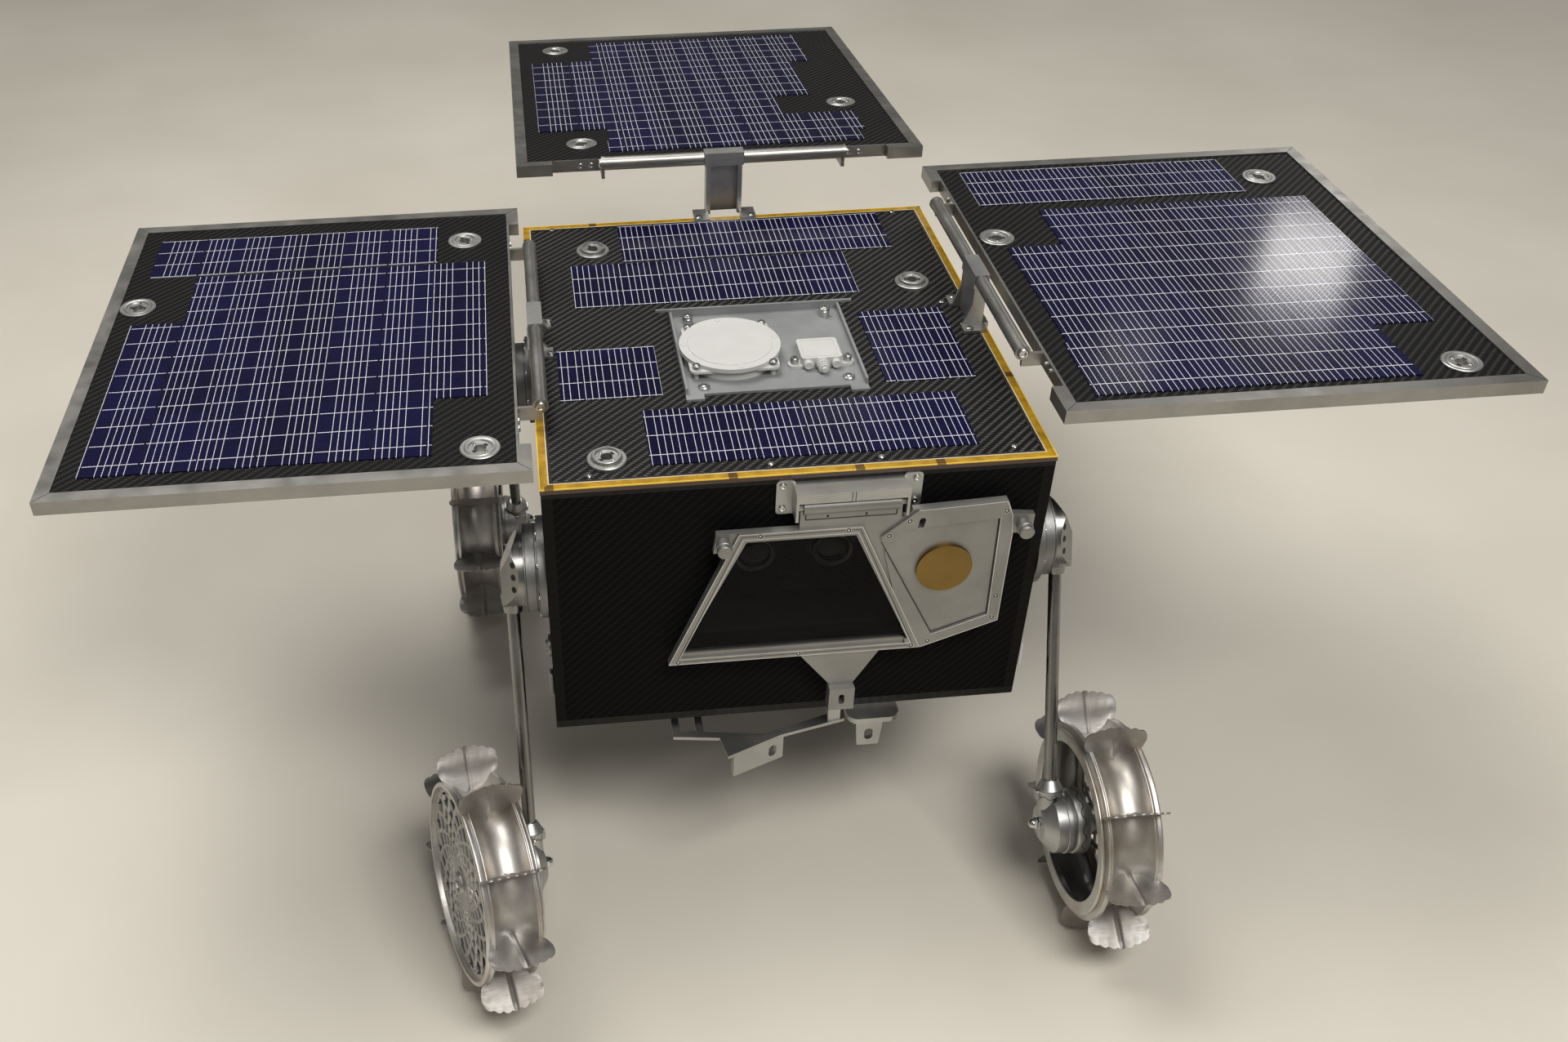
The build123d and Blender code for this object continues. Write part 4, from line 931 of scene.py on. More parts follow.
# %% [markdown]
# The nine grousers are fans of sheet metal across the tread. Their outer edge
# rises steeply from rounded corners, a little more to the middle, and is scalloped:
# r(t) = edge + (rise - scallop * (1 - |sin(7 pi t)|)) * sin(pi t)^0.45
# A pressed rib runs up the middle of one face, and the face ripples a little,
# as hand-cut sheet does.

# %% Grousers
grouser_count = 9
grouser_phase = math.radians(10.0)
grouser_half_sheet = 0.6
edge_radius_low, edge_rise, edge_radius_most = 95.0, 10.0, 105.0
scallop_count, scallop_depth = 7, 1.9


def grouser_surface(across, height, seed):
    """Places along the axle and radii of a grouser, for across and height from 0 to 1."""
    base_along = tread_from - 1.5 + across * (tread_to - tread_from + 4.5)
    base_radius = np.interp(base_along, tread[:, 0], tread[:, 1]) - 0.4
    swell = np.sin(np.pi * across) ** 0.45
    edge_along = wheel_inner - 1.2 + across * (wheel_outer - wheel_inner + 2.4)
    scallop = 1.0 - np.abs(np.sin(scallop_count * np.pi * across))
    edge_radius = edge_radius_low + edge_rise * swell - scallop_depth * scallop * swell
    edge_radius += 0.5 * np.sin(9.1 * across + seed)
    bow = np.sin(np.pi * height) * (across - 0.5) * 2.0
    along = base_along + (edge_along - base_along) * height ** 0.3 + bow
    along = np.clip(along, wheel_inner - 1.5, wheel_outer + 1.5)
    radius = base_radius + (np.minimum(edge_radius, edge_radius_most) - base_radius) * height
    return along, radius


def grouser(bench, angle, seed, columns=57, rows=11):
    """A closed thin sheet that stands on the tread at an angle round the wheel."""
    across, height = np.meshgrid(np.linspace(0, 1, columns), np.linspace(0, 1, rows), indexing="ij")
    along, radius = grouser_surface(across, height, seed)
    ripple = 0.35 * np.sin(6.0 * across + 2.0 * seed) * height + 0.25 * np.sin(11 * height + seed)
    rib = 1.5 * np.exp(-(((across - 0.5) * 52) / 1.7) ** 2) * np.clip((1.0 - height) * 9, 0, 1) ** 0.5
    sheets = []
    for side, rib_share in ((-1, 0.5), (1, 1.0)):
        lift = side * grouser_half_sheet + ripple + rib_share * rib
        x = radius * math.cos(angle) - lift * math.sin(angle)
        y = radius * math.sin(angle) + lift * math.cos(angle)
        sheets.append(np.stack([along, x, y], -1).reshape(-1, 3))
    count = columns * rows
    quads = grid_faces(columns, rows)
    back = [[corner + count for corner in reversed(quad)] for quad in quads]
    border = (
        [i * rows for i in range(columns)]
        + [(columns - 1) * rows + j for j in range(1, rows)]
        + [i * rows + rows - 1 for i in range(columns - 2, -1, -1)]
        + [j for j in range(rows - 2, 0, -1)]
    )
    rim = [(a, b, b + count, a + count) for a, b in zip(border, border[1:] + border[:1])]
    uv = np.stack([radius + 100 * seed, along], -1).reshape(-1, 2)
    bench.add(np.concatenate(sheets), quads + back + rim, np.concatenate([uv, uv + 37.0]))


# %% [markdown]
# The web is cut from a disc as a lattice. Its bars follow equiangular spirals,
# r = r0 exp(phi), half of them to each hand, so they cross at right angles and
# the windows grow outwards. Each bar swells a little at every crossing.

# %% Wheel webs
web_level, web_half_depth = 58.0, 1.5
spiral_count = 18
spiral_start, spiral_end = 19.5, 71.5


def spiral_bar(bench, start_angle, hand):
    """One bar of the lattice, thicker at its crossings and towards the rim."""
    sweep = np.linspace(0, math.log(spiral_end / spiral_start), 61)
    radius = spiral_start * np.exp(sweep)
    angle = start_angle + hand * sweep
    path = np.stack([np.full_like(radius, web_level), radius * np.cos(angle), radius * np.sin(angle)], -1)
    step = math.pi / spiral_count
    swell = 0.75 + 0.25 * np.cos(2 * np.pi * sweep / step)
    tube_along(bench, path, (0.7 + 0.02 * radius) * (0.8 + 0.5 * swell), web_half_depth)


def wheel_web(bench):
    """Lattice, outer ring with a bead, hub disc and boss."""
    for index in range(spiral_count):
        start = 2 * np.pi * index / spiral_count
        spiral_bar(bench, start, 1)
        spiral_bar(bench, start + math.pi / spiral_count * 2, -1)
    bead = half_round((58.0, 70.6), 1.3, 200, 60, 9)
    ring = np.concatenate([[(59.0, 76.3), (57.0, 76.3), (56.6, 70.4)], bead, [(59.2, 73.0)]])
    turned_ring(bench, ring, 120)
    hub = np.concatenate([
        [(37.0, 7.3), (33.4, 8.0), (33.2, 12.4), (34.0, 13.0), (56.4, 13.0), (56.6, 19.6)],
        half_round((58.0, 19.8), 1.4, -90, 90, 9),
        [(59.2, 18.4), (59.0, 13.4), (60.0, 12.8), (60.2, 9.6)],
        half_round((62.0, 8.0), 1.0, 60, -10, 5),
        [(62.6, 6.4), (61.2, 6.0), (61.2, 2.4), (53.6, 2.4), (53.6, 7.3)],
    ])
    turned_ring(bench, hub, 72)


for corner in corners:
    body = f"wheel_{corner}"
    rim_bench, fan_bench, web_bench = (Bench(*axle_place(corner)) for part in range(3))
    turned_ring(rim_bench, rim_profile, 180)
    rim = rim_bench.piece(f"{corner}_wheel_rim", body, wheel_sheet, replaced=f"{corner}_rim")
    for index in range(grouser_count):
        grouser(fan_bench, grouser_phase + index * 2 * math.pi / grouser_count, index + 0.7 * len(corner))
    fans = fan_bench.piece(f"{corner}_grousers", body, grouser_sheet)
    wheel_web(web_bench)
    web = web_bench.piece(f"{corner}_wheel_web", body, web_metal, 40, f"{corner}_web")
    print(corner, "wheel:", sum(len(piece.data.polygons) for piece in (rim, fans, web)), "faces")

# %% [markdown]
# The drive at each wheel is a cone, a drum and a ring on the leg's foot. Its
# two halves meet in a toothed seam, drawn as a narrow dark gap: along the seam
# the level steps up and down by the tooth's height, with steep flanks,
# a(t) = level + height * clip(4 sin(teeth * t), -1, 1).

# %% Feet
def seam_line(bench, level, radius, teeth, height, width):
    """A thin dark line with square teeth round a drum."""
    steps = np.linspace(0, 1, teeth * 8 + 1)
    angle = steps * 2 * math.pi
    wave = np.clip(4.0 * np.sin(teeth * steps * 2 * np.pi), -1, 1)
    path = np.stack([level + height * wave, radius * np.cos(angle), radius * np.sin(angle)], -1)
    outward = np.stack([np.zeros_like(angle), np.cos(angle), np.sin(angle)], -1)
    sideways = np.cross(unit_rows(np.gradient(path, axis=0)), outward) * width / 2
    rings = np.stack([path + sideways, path + outward * 0.12, path - sideways, path - outward * 0.3], 1)
    bench.add(rings.reshape(-1, 3), stack_faces(len(path), 4))


drive_profile = [
    (-8.6, 4.0), (-8.6, 13.6), (-7.6, 15.4), (-6.6, 16.3), (-0.6, 24.2), (0.4, 25.0), (8.6, 25.3),
    (9.0, 26.0), (12.4, 26.2), (12.9, 25.2), (15.2, 25.2), (15.6, 26.2), (17.0, 26.9), (25.2, 26.9),
    (25.9, 26.2), (26.0, 19.0), (28.0, 14.0), (32.8, 13.4), (32.9, 7.0), (52.4, 7.0), (53.0, 6.4),
    (53.0, 1.0),
]
post_profile = [
    (13.2, 1.0), (13.0, 7.4), (11.6, 9.1), (10.0, 9.5), (-27.8, 9.5), (-28.2, 10.6), (-30.4, 10.6),
    (-30.6, 9.0), (-30.6, 1.0),
]
collar_profile = [(-30.6, 1.0), (-30.6, 10.2), (-31.4, 10.4), (-38.2, 6.6), (-39.0, 6.0), (-39.0, 1.0)]
lug_inner, lug_outer, lug_top, lug_foot, lug_half_width = 8.4, 11.8, -29.5, -22.0, 3.2


def acorn_nut(bench, level, radius):
    """Washer, hexagon and dome, out from a level along the first axis."""
    washer = [(level, 1.0), (level, 1.35 * radius), (level + 1.0, 1.35 * radius), (level + 1.1, 1.0)]
    turned_solid(bench, washer, 36)
    hexagon = [
        (level + 1.0, 0.6 * radius), (level + 1.0, 1.12 * radius), (level + 4.2, 1.12 * radius),
        (level + 4.6, radius), (level + 4.7, 0.6 * radius),
    ]
    turned_solid(bench, hexagon, 6)
    rise = np.linspace(0, 0.47 * math.pi, 9)
    dome = np.stack([level + 4.4 + 0.95 * radius * np.sin(rise), 0.92 * radius * np.cos(rise)], 1)
    turned_solid(bench, dome, 36)


for corner in corners:
    foot, out, down = leg_place(corner)
    body = f"leg_{corner}"
    aside = np.cross(out, down)
    drive, seams, nuts = (Bench(foot, (way, down, aside)) for way in (out, out, -out))
    turned_solid(drive, drive_profile, 120)
    drive.order = [1, 0, 2]
    turned_solid(drive, post_profile, 60)
    turned_solid(drive, collar_profile, 60)
    drive.order = [2, 0, 1]
    for side in (-1, 1):
        lug = [(side * step, end) for step, end in (
            (lug_inner, lug_top), (lug_inner, lug_foot), (lug_outer, lug_foot), (lug_outer, lug_top)
        )]
        slab(drive, lug, -lug_half_width, lug_half_width, 0.6)
    drive.piece(f"{corner}_wheel_drive", body, drive_silver, 28, f"{corner}_foot")
    seam_line(seams, 20.6, 26.95, 12, 1.3, 0.7)
    seams.order = [1, 0, 2]
    seam_line(seams, -25.0, 9.55, 6, 1.0, 0.6)
    seams.piece(f"{corner}_drive_seams", body, dark_seams_and_shadow)
    acorn_nut(nuts, 8.6, 4.6)
    nuts.order = [2, 1, 0]
    for level in (-lug_outer - 1.3, lug_outer + 0.1):
        screw_head(nuts, (-25.8, 0.0), level, 2.1)
    nuts.piece(f"{corner}_axle_nut", body, chrome, 25)
print("feet:", len(corners))

# %% [markdown]
# Each strip of tape is folded over an edge of the deck: an L section, with its
# ends cut at 45 degrees on the top so that the strips meet at the corners. A
# strip is its section carried along the edge, and a point that lies further out
# also runs further along, which makes the cut.

# %% Tape strips
tape_bench = Bench((0, 0, deck_top), np.eye(3))
half_x, half_y = 185.0, 205.0
tape_sheet, tape_drop, tape_width = 0.4, 4.0, 8.5
section = np.array([
    (tape_sheet, -tape_drop, 0.0),
    (tape_sheet, tape_sheet, tape_drop),
    (-tape_width, tape_sheet, tape_drop + tape_width),
    (-tape_width, 0.0, tape_drop + tape_width),
    (0.0, 0.0, tape_drop),
    (0.0, -tape_drop, 0.0),
])
out_by, height, run = section.T
stations = 41
ways = np.array([(0, -1), (1, 0), (0, 1), (-1, 0)], float)
for index in range(4):
    across, along = ways[index], ways[(index + 1) % 4]
    reach_across, reach_along = (half_y, half_x) if index % 2 == 0 else (half_x, half_y)
    place_along = np.linspace(-1, 1, stations)[:, None] * (reach_along + out_by)
    ground = (reach_across + out_by)[:, None] * across + place_along[:, :, None] * along
    heights, runs = (np.broadcast_to(row, place_along.shape) for row in (height, run))
    points = np.stack([ground[:, :, 0], ground[:, :, 1], heights], -1).reshape(-1, 3)
    uv = np.stack([place_along + 500.0 * index, runs], -1).reshape(-1, 2)
    tape_bench.add(points, stack_faces(stations, len(section)), uv)
tape_bench.piece("edge_tape_film", "chassis", amber_film, 20, "edge_tape")
print("tape strips:", len(ways), "with", stations, "sections each")

# %% [markdown]
# Screws hold nearly every fitting. They are drawn in sets, one set to a face:
# each row of a list gives a place across the face, its level and its radius.
# A raised head is a bevelled disc with a hex socket, and a sunk one is a
# cone-shaped ring flush with the sheet, painted dark as shadow.

# %% Screw sets
def screw_set(name, body, face, places):
    """Screw heads on faces that look along the first axis: (across, along, level, radius) each."""
    bench = Bench(*face)
    for across, along, level, radius in places:
        screw_head(bench, (across, along), level, radius)
    bench.piece(name, body, screw_steel, 25)


def sunk_set(name, body, face, places):
    """Countersunk heads: a bright ring, a cone painted dark as shadow, and a bright hexagon, nearly flush."""
    ring = ((0.0, 1.0), (0.12, 0.97), (0.12, 0.82), (0.0, 0.8))
    cone = ((0.0, 0.44), (0.0, 0.8), (0.06, 0.78), (0.04, 0.44))
    socket = ((0.0, 0.44), (0.09, 0.42))
    rings, wells = Bench(*face), Bench(*face)
    for across, along, level, radius in places:
        for shape, bench, profile, count in (
            (turned_ring, rings, ring, 28), (turned_ring, wells, cone, 28), (turned_solid, rings, socket, 6)
        ):
            real_profile = [(level + step, radius * share) for step, share in profile]
            shape(bench, real_profile, count, (across, along))
    rings.piece(f"{name}_rings", body, screw_steel, 25)
    wells.piece(f"{name}_wells", body, dark_seams_and_shadow)


def closed(path):
    """A path that ends where it starts."""
    return path + path[:1]


def line_strip(bench, path, width, level, height=0.05):
    """A flat dark line on a face, as one thin slab to each stretch of the path."""
    for first, last in zip(path[:-1], path[1:]):
        first, last = np.asarray(first, float), np.asarray(last, float)
        ahead = (last - first) / np.linalg.norm(last - first)
        side = np.array([-ahead[1], ahead[0]]) * width / 2
        slab(bench, [first - side, last - side, last + side, first + side], level, level + height)


# %% [markdown]
# The hold-down cups are turned: a flange, a raised ring and a sunk floor with a
# bore through it. Two small screws and two notches beside the bore show where
# the pin turned and locked.

# %% Hold-down cups
cup_bore, cup_radius, cup_ring_radius = 4.45, 14.5, 10.75
cup_screw_at, cup_screw_radius = 6.4, 1.3


def cup_set(name, body, face, centres, levels, replaced):
    """A set of cups. levels holds their base, flange, ring and floor."""
    base, flange, ring, floor = levels
    profile = [
        (base, cup_bore), (base, cup_ring_radius), (0.0, cup_ring_radius), (0.0, cup_radius),
        (flange - 0.5, cup_radius), (flange, cup_radius - 0.6), (flange, cup_ring_radius + 1.0),
        (flange - 0.3, cup_ring_radius + 0.5), (ring - 0.4, cup_ring_radius), (ring, cup_ring_radius - 0.5),
        (ring, cup_ring_radius - 1.8), (floor, cup_ring_radius - 2.4), (floor, cup_bore),
    ]
    cups, screws, notches = Bench(*face), Bench(*face), Bench(*face)
    for index, centre in enumerate(centres):
        turned_ring(cups, profile, 72, centre)
        for half_turn in (0, math.pi):
            angle = 0.5 + 0.9 * index + half_turn
            spot = centre[0] + cup_screw_at * math.cos(angle), centre[1] + cup_screw_at * math.sin(angle)
            screw_head(screws, spot, floor, cup_screw_radius)
            side = angle + math.pi / 2
            ahead = np.array([math.cos(side), math.sin(side)])
            # Painted shadow: each notch is a flat dark strip on the floor of the cup.
            notch = [np.array(centre) + step * ahead for step in (4.5, 6.8)]
            line_strip(notches, notch, 3.4, floor)
    cups.piece(f"{name}_turned", body, milled, 25, replaced)
    screws.piece(f"{name}_screws", body, screw_steel, 25)
    notches.piece(f"{name}_notches", body, dark_seams_and_shadow)


on_deck = (0, 0, deck_top), ((0, 0, 1), (1, 0, 0), (0, 1, 0))
deck_cup_places = [(-124.6, 148.3), (142.7, 59.2), (-136.0, -174.8)]
panel_cup_places = {
    "left": [(47.4, -148.3), (313.4, -59.2), (36.0, 174.8)],
    "right": [(294.7, 148.3), (27.4, 59.2), (306.1, -174.8)],
    "rear": [(55.6, 126.1), (144.7, -141.2), (378.7, 137.5)],
}
cup_set("deck_cup", "chassis", on_deck, deck_cup_places, (0.0, 3.0, 6.0, 4.2), "deck_cups")
print("cups:", 3 + 3 * len(panel_cup_places))

# %% [markdown]
# In each panel's hinge plane, distances run out from the hinge and along it. The
# cups sit in the board, the frame's four corners are mitred, and screws and a
# bolt hold the hinge's lugs.

# %% Panel fittings
board_drop, board_thickness, frame_bar = 1.2, 8.4, 10.5
panel_cup_levels = (-board_thickness, 1.6, 1.6, 0.6)
panel_sizes = {
    "left": (338.5, 413.7, -0.8, 125.0),
    "right": (353.0, 413.7, -0.8, 125.0),
    "rear": (426.9, 377.8, -4.2, 109.0),
}
for side, data in panel_frames.items():
    reach, length, frame_top, tube_half = panel_sizes[side]
    hinge, up, out, along = panel_axes(data)
    inner = data["inner"]
    body = f"panel_{side}"
    on_board = hinge + up * (frame_top - board_drop) / 1000, (up, out, along)
    centres = [(inner + out_by, along_by) for out_by, along_by in panel_cup_places[side]]
    cup_set(f"{body}_cup", body, on_board, centres, panel_cup_levels, f"{body}_cups")
    seams = Bench(hinge, (up, out, along))
    for far, toward in ((inner, 1), (inner + reach, -1)):
        for end in (-1, 1):
            corner_at = np.array([far, end * length / 2])
            inside = corner_at + np.array([toward, -end]) * frame_bar
            line_strip(seams, [corner_at * 0.9 + inside * 0.1, inside], 0.45, frame_top, 0.04)
    seams.piece(f"{body}_mitres", body, dark_seams_and_shadow)
    middle = frame_top - 5.4
    strip_face = inner + frame_bar - 2.0
    spots = [end * (tube_half + step) for end in (-1, 1) for step in (11.0, 21.0)]
    places = [(spot, middle, -strip_face, 2.6) for spot in spots]
    screw_set(f"{body}_strip_screws", body, (hinge, (-out, along, up)), places)
    for end, letter in ((-1, "a"), (1, "b")):
        bolt = [(0.0, 0.0, tube_half + 3.0, 4.2)]
        screw_set(f"{body}_lug_bolt_{letter}", body, (hinge, (end * along, out, up)), bolt)
print("panel fittings:", len(panel_sizes))

# %% [markdown]
# Socket-head screws along the border hold the deck down, and larger ones hold
# the feet of the hinge brackets and of the rear mast. Their places were read
# from the photograph, so they are plain lists.

# %% Screws on the deck and on the hinge brackets
tape_top = 0.4
deck_screws = [(-158.5, 196), (157.2, 196), (159.8, 24), (158, -190), (-150, -192), (-20, -192), (60, -192)]
screw_set("deck_edge_screws", "chassis", on_deck, [(x, y, 0.0, 2.5) for x, y in deck_screws])
foot_top = tape_top + 2.5
bracket_screws = [(side * 169.5, end * 26.0, foot_top, 3.0) for side in (-1, 1) for end in (-1, 1)]
mast_screws = [(1.5 + end * 24.5, 199.5, foot_top, 3.4) for end in (-1, 1)]
screw_set("bracket_screws", "chassis", on_deck, bracket_screws + mast_screws)
print("deck screws:", len(deck_screws), "bracket screws:", len(bracket_screws + mast_screws))

# %% [markdown]
# On the tray, two tall cap screws stand on spacers at the back and two pan heads
# at the front. The round antenna has a cap screw in each corner of its plate and
# four little pips on its lid, and the small one has two cap screws in its ears,
# two side sockets and a ringed plug.

# %% Tray and antennas
tray_floor = 2.0
spacer_top = tray_floor + 6.0
antenna_x, antenna_y, antenna_plate_top = -29.0, -43.6, 12.3
pip_circle, lid_top = 36.6, 13.4
spacer = [(tray_floor, 1.0), (tray_floor, 4.4), (spacer_top - 0.4, 4.4), (spacer_top, 4.0), (spacer_top, 1.0)]
shank = [(4.5, 1.0), (4.5, 3.3), (9.3, 3.3), (9.8, 2.9), (9.8, 1.7), (8.2, 1.6), (8.2, 0.4)]
tall_screws, pips = Bench(*on_deck), Bench(*on_deck)
for x in (-56.0, 57.0):
    turned_solid(tall_screws, spacer, 36, (x, 10.0))
    screw_head(tall_screws, (x, 10.0), spacer_top, 4.3)
for x, y in ((-55.0, -89.0), (58.0, -87.0)):
    screw_head(tall_screws, (x, y), tray_floor, 4.6)
for side in (-1, 1):
    for end in (-1, 1):
        screw_head(tall_screws, (antenna_x + side * 30.0, antenna_y + end * 30.0), antenna_plate_top, 3.2)
for x in (19.0, 61.0):
    turned_solid(tall_screws, shank, 30, (x, -65.0))
tall_screws.piece("tray_screws", "chassis", screw_steel, 25)

for degrees in (-84, 8, 98, 178):
    angle = math.radians(degrees)
    spot = (antenna_x + pip_circle * math.cos(angle), antenna_y + pip_circle * math.sin(angle))
    turned_solid(pips, [(lid_top, 2.3), (13.9, 2.1), (14.1, 1.5), (14.1, 0.3)], 24, spot)
lid_rim = [(lid_top, 33.0), (lid_top, 33.6), (13.9, 33.4), (14.05, 32.9), (14.0, 32.4)]
turned_ring(pips, lid_rim, 96, (antenna_x, antenna_y))
line_strip(pips, closed([(27, -67), (53, -67), (53, -43), (27, -43)]), 0.7, 11.0, 0.25)
pips.piece("antenna_pips", "chassis", antenna_white, 25)

plug = Bench((0.040, -0.070, deck_top + 0.0066), ((0, -1, 0), (1, 0, 0), (0, 0, 1)))
for start, radius in ((0.0, 5.2), (3.0, 4.9), (5.6, 4.5), (8.2, 4.1)):
    end, edge = start + 1.7, radius - 0.4
    ridge = [(start, edge), (start + 0.4, radius), (start + 1.3, radius), (end, edge)]
    turned_ring(plug, [(start, 2.0)] + ridge + [(end, 2.0)], 40)
for side in (-1, 1):
    socket = [(0.0, 1.4), (0.0, 3.6), (3.6, 3.6), (4.2, 3.1), (4.2, 1.9), (1.0, 1.4)]
    turned_ring(plug, socket, 32, (side * 11.0, 0.0))
plug.piece("antenna_plug_rings", "chassis", antenna_white, 25)
print("tray and antennas done")

# %% [markdown]
# The shutter is a milled frame. Countersunk screws hold its rims, a narrow groove
# runs inside them, and the plate of its neck carries a shallow frame. Heights
# are measured up from the box's underside, 235 mm below the deck.

# %% Shutter and its hinge box
on_face = (0, 0, 0), ((0, -1, 0), (1, 0, 0), (0, 0, 1))
rim_face, plate_face, box_face, wing_face = 220.0, 218.0, 222.0, 207.0
window_screws = [(-89.5, 75.6), (90.5, 75.6), (3.0, 75.6), (-30.5, 192.5), (33.6, 192.5)]
plate_screws = [(64.0, 184.6), (78.0, 196.8), (148.6, 200.5), (151.3, 120.0), (151.0, 98.5), (103.0, 79.2)]
rim_screws = [(x, z, rim_face, 2.3) for x, z in window_screws + plate_screws]
sunk_set("shutter_rim_screws", "shutter", on_face, rim_screws)

grooves, box_dark_lines, pin_ends, edge_highlight_lines = (Bench(*on_face) for index in range(4))
side_groove = [(74.5, 188.4), (144.5, 193.4), (146.5, 102.4), (105.2, 86.8), (59.3, 177.6), (72.5, 179.5)]
window_groove = [(-90.6, 76.0), (92.0, 76.0), (42.3, 192.6), (-43.6, 192.6)]
neck_frame = [(2.0, 203.0), (68.0, 203.0), (68.0, 210.5), (2.0, 210.5)]
# Painted shadow: the grooves and the neck's frame are flat dark lines on the plate, standing in for the shade
# in them.
line_strip(grooves, closed(side_groove), 0.7, plate_face)
line_strip(grooves, closed(window_groove), 0.5, rim_face, 0.04)
line_strip(grooves, closed(neck_frame), 0.9, plate_face)
for x in (18.0, 46.0):
    line_strip(grooves, [(x, 204.2), (x, 206.2)], 1.6, plate_face)
grooves.piece("shutter_grooves", "shutter", dark_seams_and_shadow)

# Two flat dark lines on the face of the hinge box.
for x in (33.8, 36.2):
    line_strip(box_dark_lines, [(x, 220.2), (x, 228.0)], 0.5, box_face)
box_dark_lines.piece("hinge_box_marks", "chassis", dark_seams_and_shadow)
wing_screws = [(x, z, wing_face, 2.6) for x in (-13.4, 83.4) for z in (226.0, 206.5)]
screw_set("hinge_box_screws", "chassis", on_face, wing_screws)

pin_profile = [
    (222.0, 4.2), (222.0, 5.6), (222.8, 6.0), (225.0, 6.0), (225.6, 5.4), (229.4, 5.4), (230.0, 4.9),
    (230.2, 0.3),
]
for centre in ((-57.0, 187.0), (163.0, 186.0)):
    turned_solid(pin_ends, pin_profile, 48, centre)
pin_ends.piece("shutter_pin_ends", "shutter", blasted, 25)

# Bright strips along the rims' milled edges: paler milled metal, with a painted highlight standing in for the
# light on their bevels.
edge_highlight_outlines = [
    closed([(-96.6, 73.4), (97.2, 73.4), (43.7, 194.6), (-45.7, 194.6)]),
    closed([(-88.8, 78.3), (90.0, 78.3), (41.0, 189.7), (-42.6, 189.7)]),
    [(98.4, 73.6), (155.6, 95.3), (155.6, 178.4), (153.6, 195.8), (148.7, 208.6), (84.4, 205.7)],
    [(105.0, 85.4), (147.4, 101.6), (145.3, 194.4)],
]
for outline in edge_highlight_outlines:
    line_strip(edge_highlight_lines, outline, 0.45, rim_face)
edge_highlight_lines.piece("shutter_bright_edges", "shutter", milled_edge_highlight)

# %% [markdown]
# Two lenses look out through the smoky window. Each has a ring and a domed front
# glass, dark and very smooth, so that only its highlights show.

# %% Camera lens fronts
lens_front, lens_height, lens_radius = 171.0, 137.0, 12.6
lens_ring = [
    (lens_front, lens_radius), (lens_front, 15.8), (lens_front + 1.4, 15.8), (lens_front + 2.2, 15.0),
    (lens_front + 1.0, 12.8),
]
rise = np.linspace(0.0, 0.49 * math.pi, 10)
dome = np.stack([lens_front + 3.0 * np.sin(rise), lens_radius * np.cos(rise)], 1)
lens_rings, lens_domes = Bench(*on_face), Bench(*on_face)
for x in (-25.5, 35.5):
    turned_ring(lens_rings, lens_ring, 60, (x, lens_height))
    turned_solid(lens_domes, dome, 60, (x, lens_height))
lens_rings.piece("camera_lens_rings", "chassis", cast_grey, 25)
lens_domes.piece("camera_lens_domes", "chassis", lens_glass, 25)
print("shutter and lenses done")

# %% [markdown]
# A shoulder is three turned pieces on the wall: a flange with pan-head screws, a
# drive ring, and the leg's housing with sloping sides. Three sunk screw holes
# line the foot of each slope to the front and back.

# %% Shoulder fittings
wall_x, shoulder_height = 185.0, 137.0
slope = math.sqrt(0.5)
flange_circle, hole_radius, line_radius = 36.3, 2.5, 33.3
for corner in corners:
    down = leg_place(corner)[2]
    side = 1.0 if "right" in corner else -1.0
    place_y = joints[f"shoulder_{corner}"]["pos_m"][1] * 1000
    on_wall = np.array([side * wall_x, place_y, shoulder_height]) / 1000, np.diag([side, 1, 1])
    places = []
    for angle in (math.radians(20 + 40 * index) for index in range(9)):
        places.append((flange_circle * math.cos(angle), flange_circle * math.sin(angle), 5.5, 1.9))
    screw_set(f"{corner}_flange_screws", "chassis", on_wall, places)
    rings = Bench(*on_wall)
    for level in (7.2, 14.6):
        far = level + 0.5, line_radius + 0.3
        turned_ring(rings, [(level, line_radius), (level, far[1]), far, (far[0], line_radius)], 96)
    rings.piece(f"{corner}_drive_lines", "chassis", dark_seams_and_shadow)
    across = np.cross(down, (side, 0, 0))
    for letter, way in (("a", 1.0), ("b", -1.0)):
        normal = slope * np.array([side, 0, 0]) + slope * way * across
        base = np.array([side * (wall_x + 24.5), place_y, shoulder_height]) + way * across * 24.8
        # Painted shadow: each hole is a flat dark disc on the slope, standing in for the shade inside it.
        holes = Bench(base / 1000, (normal, down, np.cross(normal, down)))
        for step in (-9.5, 0.0, 9.5):
            turned_solid(holes, [(0.0, hole_radius), (0.08, hole_radius)], 32, (step, 0.0))
        holes.piece(f"{corner}_housing_holes_{letter}", f"leg_{corner}", dark_seams_and_shadow)
print("shoulders done")

# %% [markdown]
# Small fittings low on the side walls: a disc and a lever on the left one, and a
# short pale block on the right one.

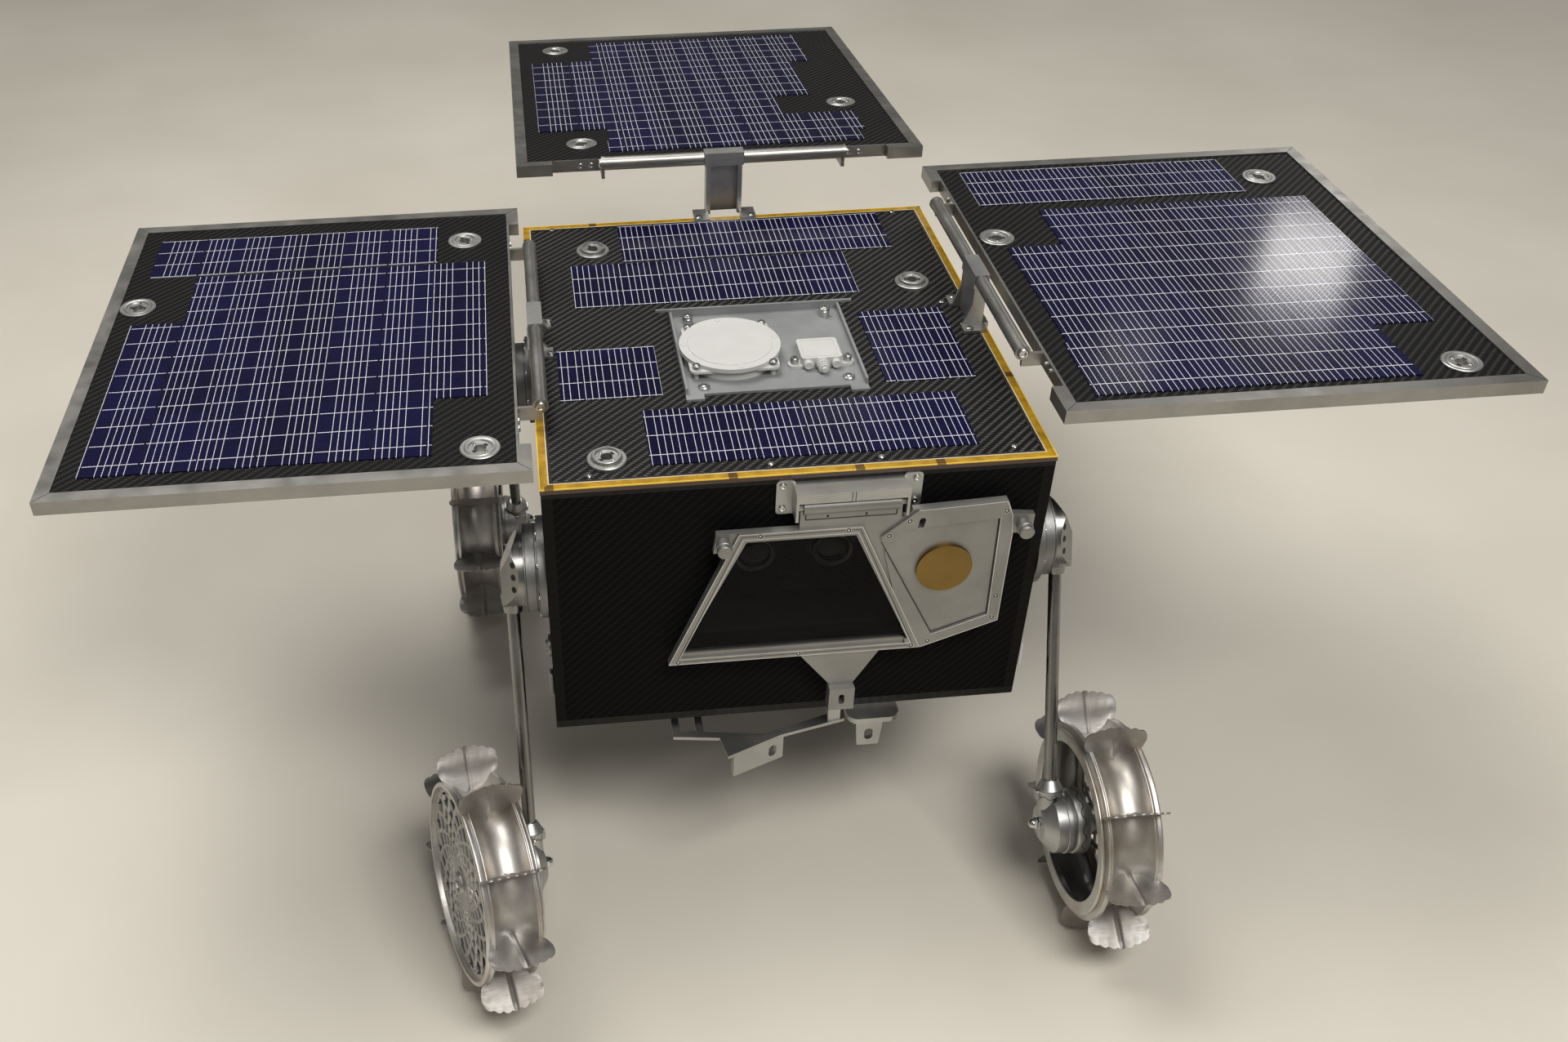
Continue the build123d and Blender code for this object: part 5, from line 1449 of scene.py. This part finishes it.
# %% Side fittings
left_bench = Bench((-0.185, -0.180, 0.067), ((-1, 0, 0), (0, 1, 0), (0, 0, 1)))
disc = [(0.0, 1.0), (0.0, 9.0), (2.0, 9.0), (2.6, 8.4), (2.6, 5.0), (4.4, 4.6), (4.6, 4.0), (4.6, 1.0)]
turned_solid(left_bench, disc, 40)
slab(left_bench, [(-3, -28), (3, -28), (4, -50), (-4, -50)], 0.0, 3.0, 0.6)
left_bench.piece("left_wall_fittings", "chassis", milled, 25)
right_bench = Bench((0.185, -0.200, 0.042), ((1, 0, 0), (0, 1, 0), (0, 0, 1)))
slab(right_bench, [(-6, -10), (4, -12), (6, 10), (-4, 12)], 0.0, 3.4, 0.8)
right_bench.piece("right_wall_fitting", "chassis", antenna_white, 25)
print("side fittings done")

# %% [markdown]
# The floor is a plain pale sheet, and the world is a soft white room. Metal
# needs something to mirror, so the world also shows pale in reflections. Two
# large area lamps above give the long soft highlights of ceiling lights.

# %% Floor, room and lamps
floor_z = cad_box[0][2]
reach = 8.0
floor_corners = [(-reach, -reach), (reach, -reach), (reach, reach), (-reach, reach)]
floor_mesh = bpy.data.meshes.new("floor")
floor_mesh.from_pydata([(x, y, floor_z) for x, y in floor_corners], [], [(0, 1, 2, 3)])
floor = bpy.data.objects.new("floor", floor_mesh)
bpy.context.scene.collection.objects.link(floor)


def floor_material():
    """A pale floor with wide soft clouds."""
    material, tree, shader, coordinates = new_material("Pale floor")
    cloud = remap(tree, scaled_noise(tree, coordinates["Object"], 2.5, 4.0), 0.3, 0.7)
    colour = blend_colours(tree, cloud, (0.66, 0.62, 0.54, 1), (0.74, 0.70, 0.62, 1))
    feed(tree, shader, {"Base Color": colour, "Roughness": 0.55})
    return material


floor_mesh.materials.append(floor_material())

world = bpy.data.worlds.new("Soft room")
bpy.context.scene.world = world
world.use_nodes = True
room = {"Color": (1.0, 0.97, 0.92, 1.0), "Strength": 0.17}
feed(world.node_tree, world.node_tree.nodes["Background"], room)


def area_lamp(name, place_at, size, power):
    """A rectangular area lamp that points at the rover."""
    lamp = bpy.data.lights.new(name, "AREA")
    lamp.shape = "RECTANGLE"
    lamp.size, lamp.size_y = size
    lamp.energy = power
    lamp.color = (1.0, 0.98, 0.94)
    holder = bpy.data.objects.new(name, lamp)
    holder.location = place_at
    holder.rotation_euler = (-Vector(place_at)).to_track_quat("-Z", "Y").to_euler()
    bpy.context.scene.collection.objects.link(holder)


area_lamp("Ceiling lamp front", (0.5, -1.5, 2.4), (1.4, 0.9), 54)
area_lamp("Ceiling lamp over", (-0.7, 0.6, 2.6), (1.6, 1.2), 47)
row_lamps = [((3.05, 4.2, 2.6), 0.34, 9), ((2.03, 3.52, 2.6), 0.2, 0.5), ((0.97, 3.62, 2.6), 0.3, 0.4)]
for number, (spot, width, power) in enumerate(row_lamps):
    area_lamp(f"Row lamp {number}", spot, (width, width), power)
print("lamps:", len(bpy.data.lights))

# %% [markdown]
# The camera stands where the photographer stood, a little left of the rover and
# above it, found by fitting the corners of the box. The shift puts the picture's
# frame where the photograph has it.

# %% Camera
camera_data = bpy.data.cameras.new("Photographer")
camera_data.sensor_width = 36.0
camera_data.lens = 33.587
camera_data.shift_x = 0.0863
camera_data.shift_y = 0.0071
camera = bpy.data.objects.new("Photographer", camera_data)
camera.location = (-0.18156, -1.03253, 0.83866)
camera.rotation_euler = Euler(tuple(math.radians(angle) for angle in (52.0853, 0.6929, -5.5303)), "XYZ")
bpy.context.scene.collection.objects.link(camera)
bpy.context.scene.camera = camera
bpy.context.scene.view_settings.view_transform = "Standard"
print("camera lens:", round(camera_data.lens, 1), "mm")

# %% [markdown]
# The last cell updates the view layer.

# %% The end
bpy.context.view_layer.update()
